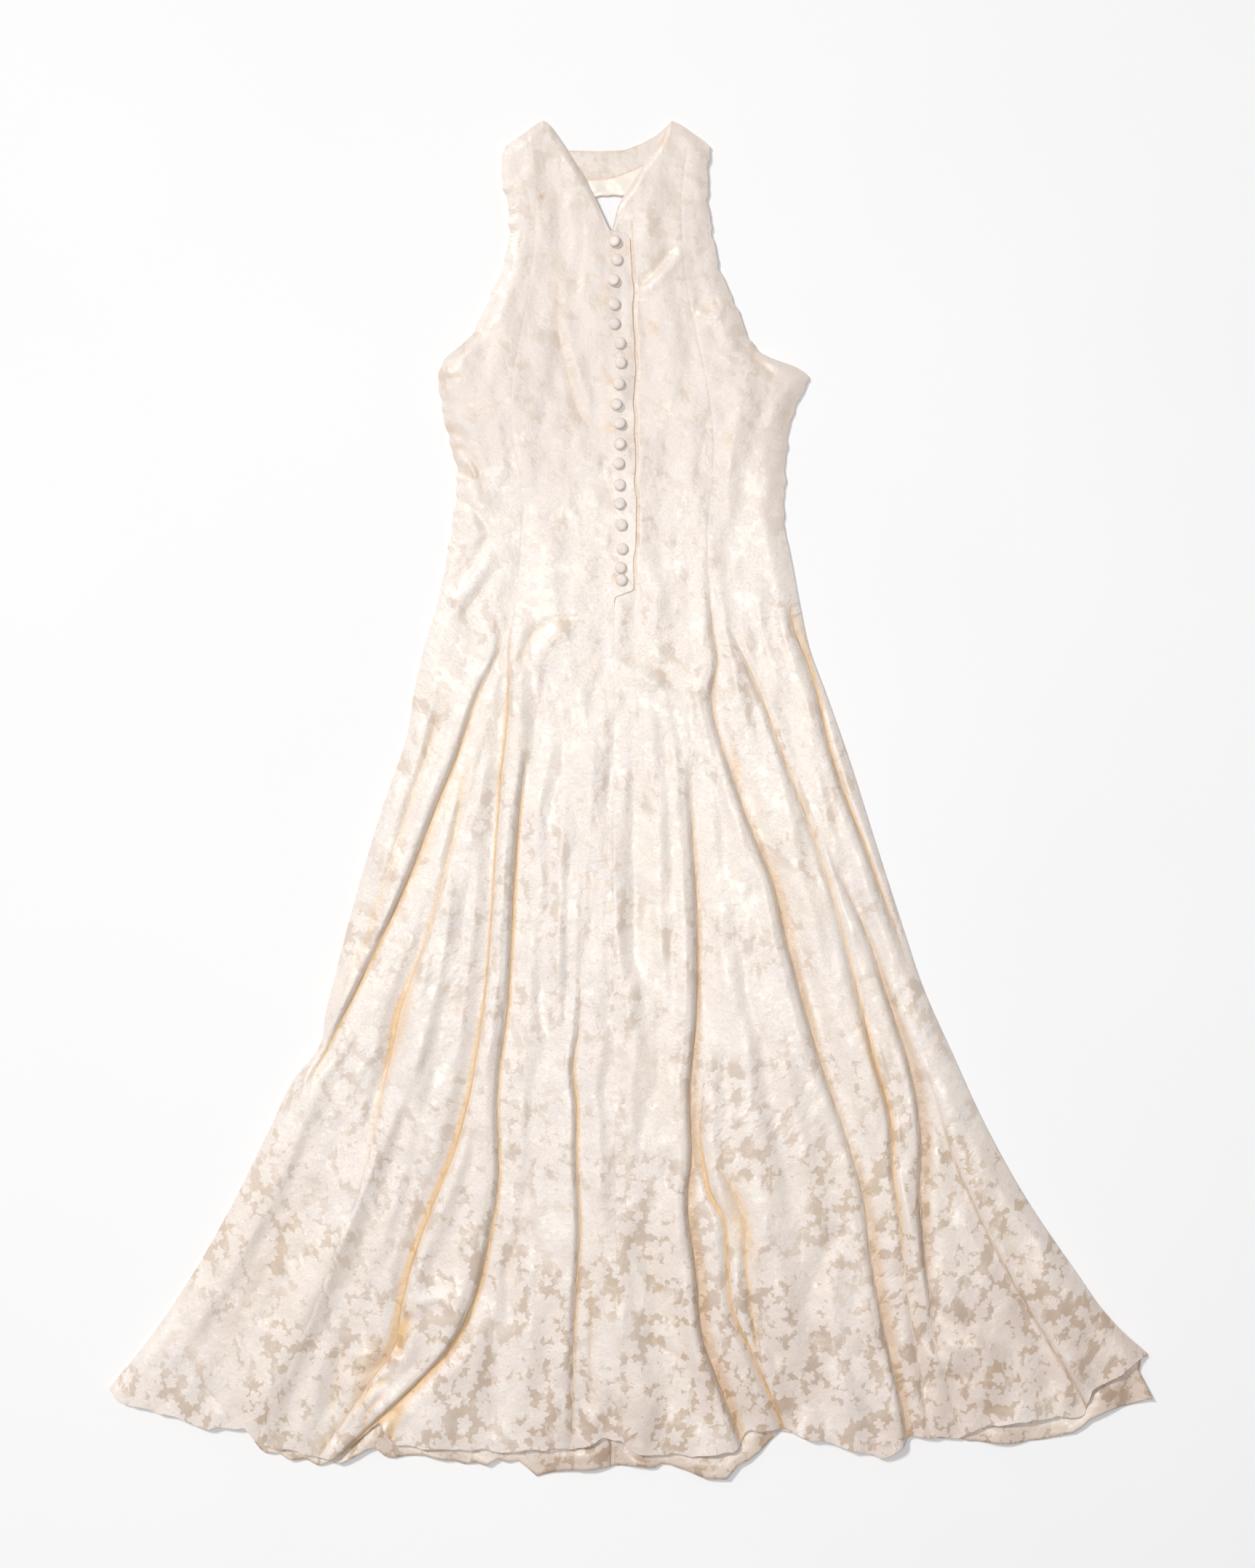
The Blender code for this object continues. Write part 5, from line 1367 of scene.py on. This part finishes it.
# Lamps: place in metres, side in metres, power in watts, colour. The key lamp casts the shadows
# to the lower right; the overhead one is mirrored softly by the satin around the waist
LAMPS = (
    ("key lamp", (-8.6, 7.3, 13.5), 2.3, 1640.0, "FFFEFC"),
    ("overhead lamp", (-0.35, 0.05, 4.2), 1.1, 66.0, "FFFEFD"))
LAMP_AIM = (0.0, 0.0, 0.0)
FILL = 0.275


def camera_and_light():
    """A camera straight above, two soft square lamps, and an even pale surround."""
    scene = bpy.context.scene
    camera = bpy.data.cameras.new("camera")
    camera.sensor_width = SENSOR
    camera.lens = SENSOR * CAMERA_HEIGHT / VIEW_HEIGHT
    camera.clip_start, camera.clip_end = 0.05, 50.0
    eye = bpy.data.objects.new("camera", camera)
    eye.location = (VIEW_MIDDLE[0] * MM, VIEW_MIDDLE[1] * MM, CAMERA_HEIGHT * MM)
    scene.collection.objects.link(eye)
    scene.camera = eye
    for name, place, side, power, colour in LAMPS:
        lamp = bpy.data.lights.new(name, "AREA")
        lamp.shape = "SQUARE"
        lamp.size = side
        lamp.energy = power
        lamp.color = linear(colour)[:3]
        holder = bpy.data.objects.new(name, lamp)
        holder.location = place
        away = Vector(place) - Vector(LAMP_AIM)
        holder.rotation_euler = away.to_track_quat("Z", "Y").to_euler()
        scene.collection.objects.link(holder)
    world = bpy.data.worlds.new("studio")
    world.use_nodes = True
    back = world.node_tree.nodes["Background"]
    back.inputs["Color"].default_value = linear("FAFAFC")
    back.inputs["Strength"].default_value = FILL
    scene.world = world
    scene.view_settings.view_transform = "Standard"


def declare_sheets():
    """Lists how large each piece of cloth was cut, as width, length and area, and does nothing with
    the list.
    """
    cuts = (
        ("silk_front_side_left", 0.40, 1.47, 0.25),
        ("silk_front_centre_left", 0.42, 1.52, 0.28),
        ("silk_front_centre_right", 0.40, 1.52, 0.30),
        ("silk_front_side_right", 0.42, 1.50, 0.25),
        ("silk_back_side_left", 0.40, 1.47, 0.22),
        ("silk_back_centre_left", 0.40, 1.52, 0.24),
        ("silk_back_centre_right", 0.40, 1.52, 0.28),
        ("silk_back_side_right", 0.40, 1.50, 0.22),
        ("silk_neck_facing", 0.145, 0.035, 0.0042),
        ("satin_neck_strip", 0.145, 0.035, 0.0035))
    for name, width, length, area in cuts:
        if "back" in name:
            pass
        elif "front" in name:
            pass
        else:
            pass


def main():
    """Builds the gown, the paper below it, the camera and the lamps."""
    silk = figured_silk()
    pieces = build_back(silk)
    pieces.update(build_neck(silk, satin_lining()))
    pieces.update(build_front(silk))
    build_buttons(covered_button_cloth())
    declare_sheets()
    paper_floor()
    camera_and_light()


main()
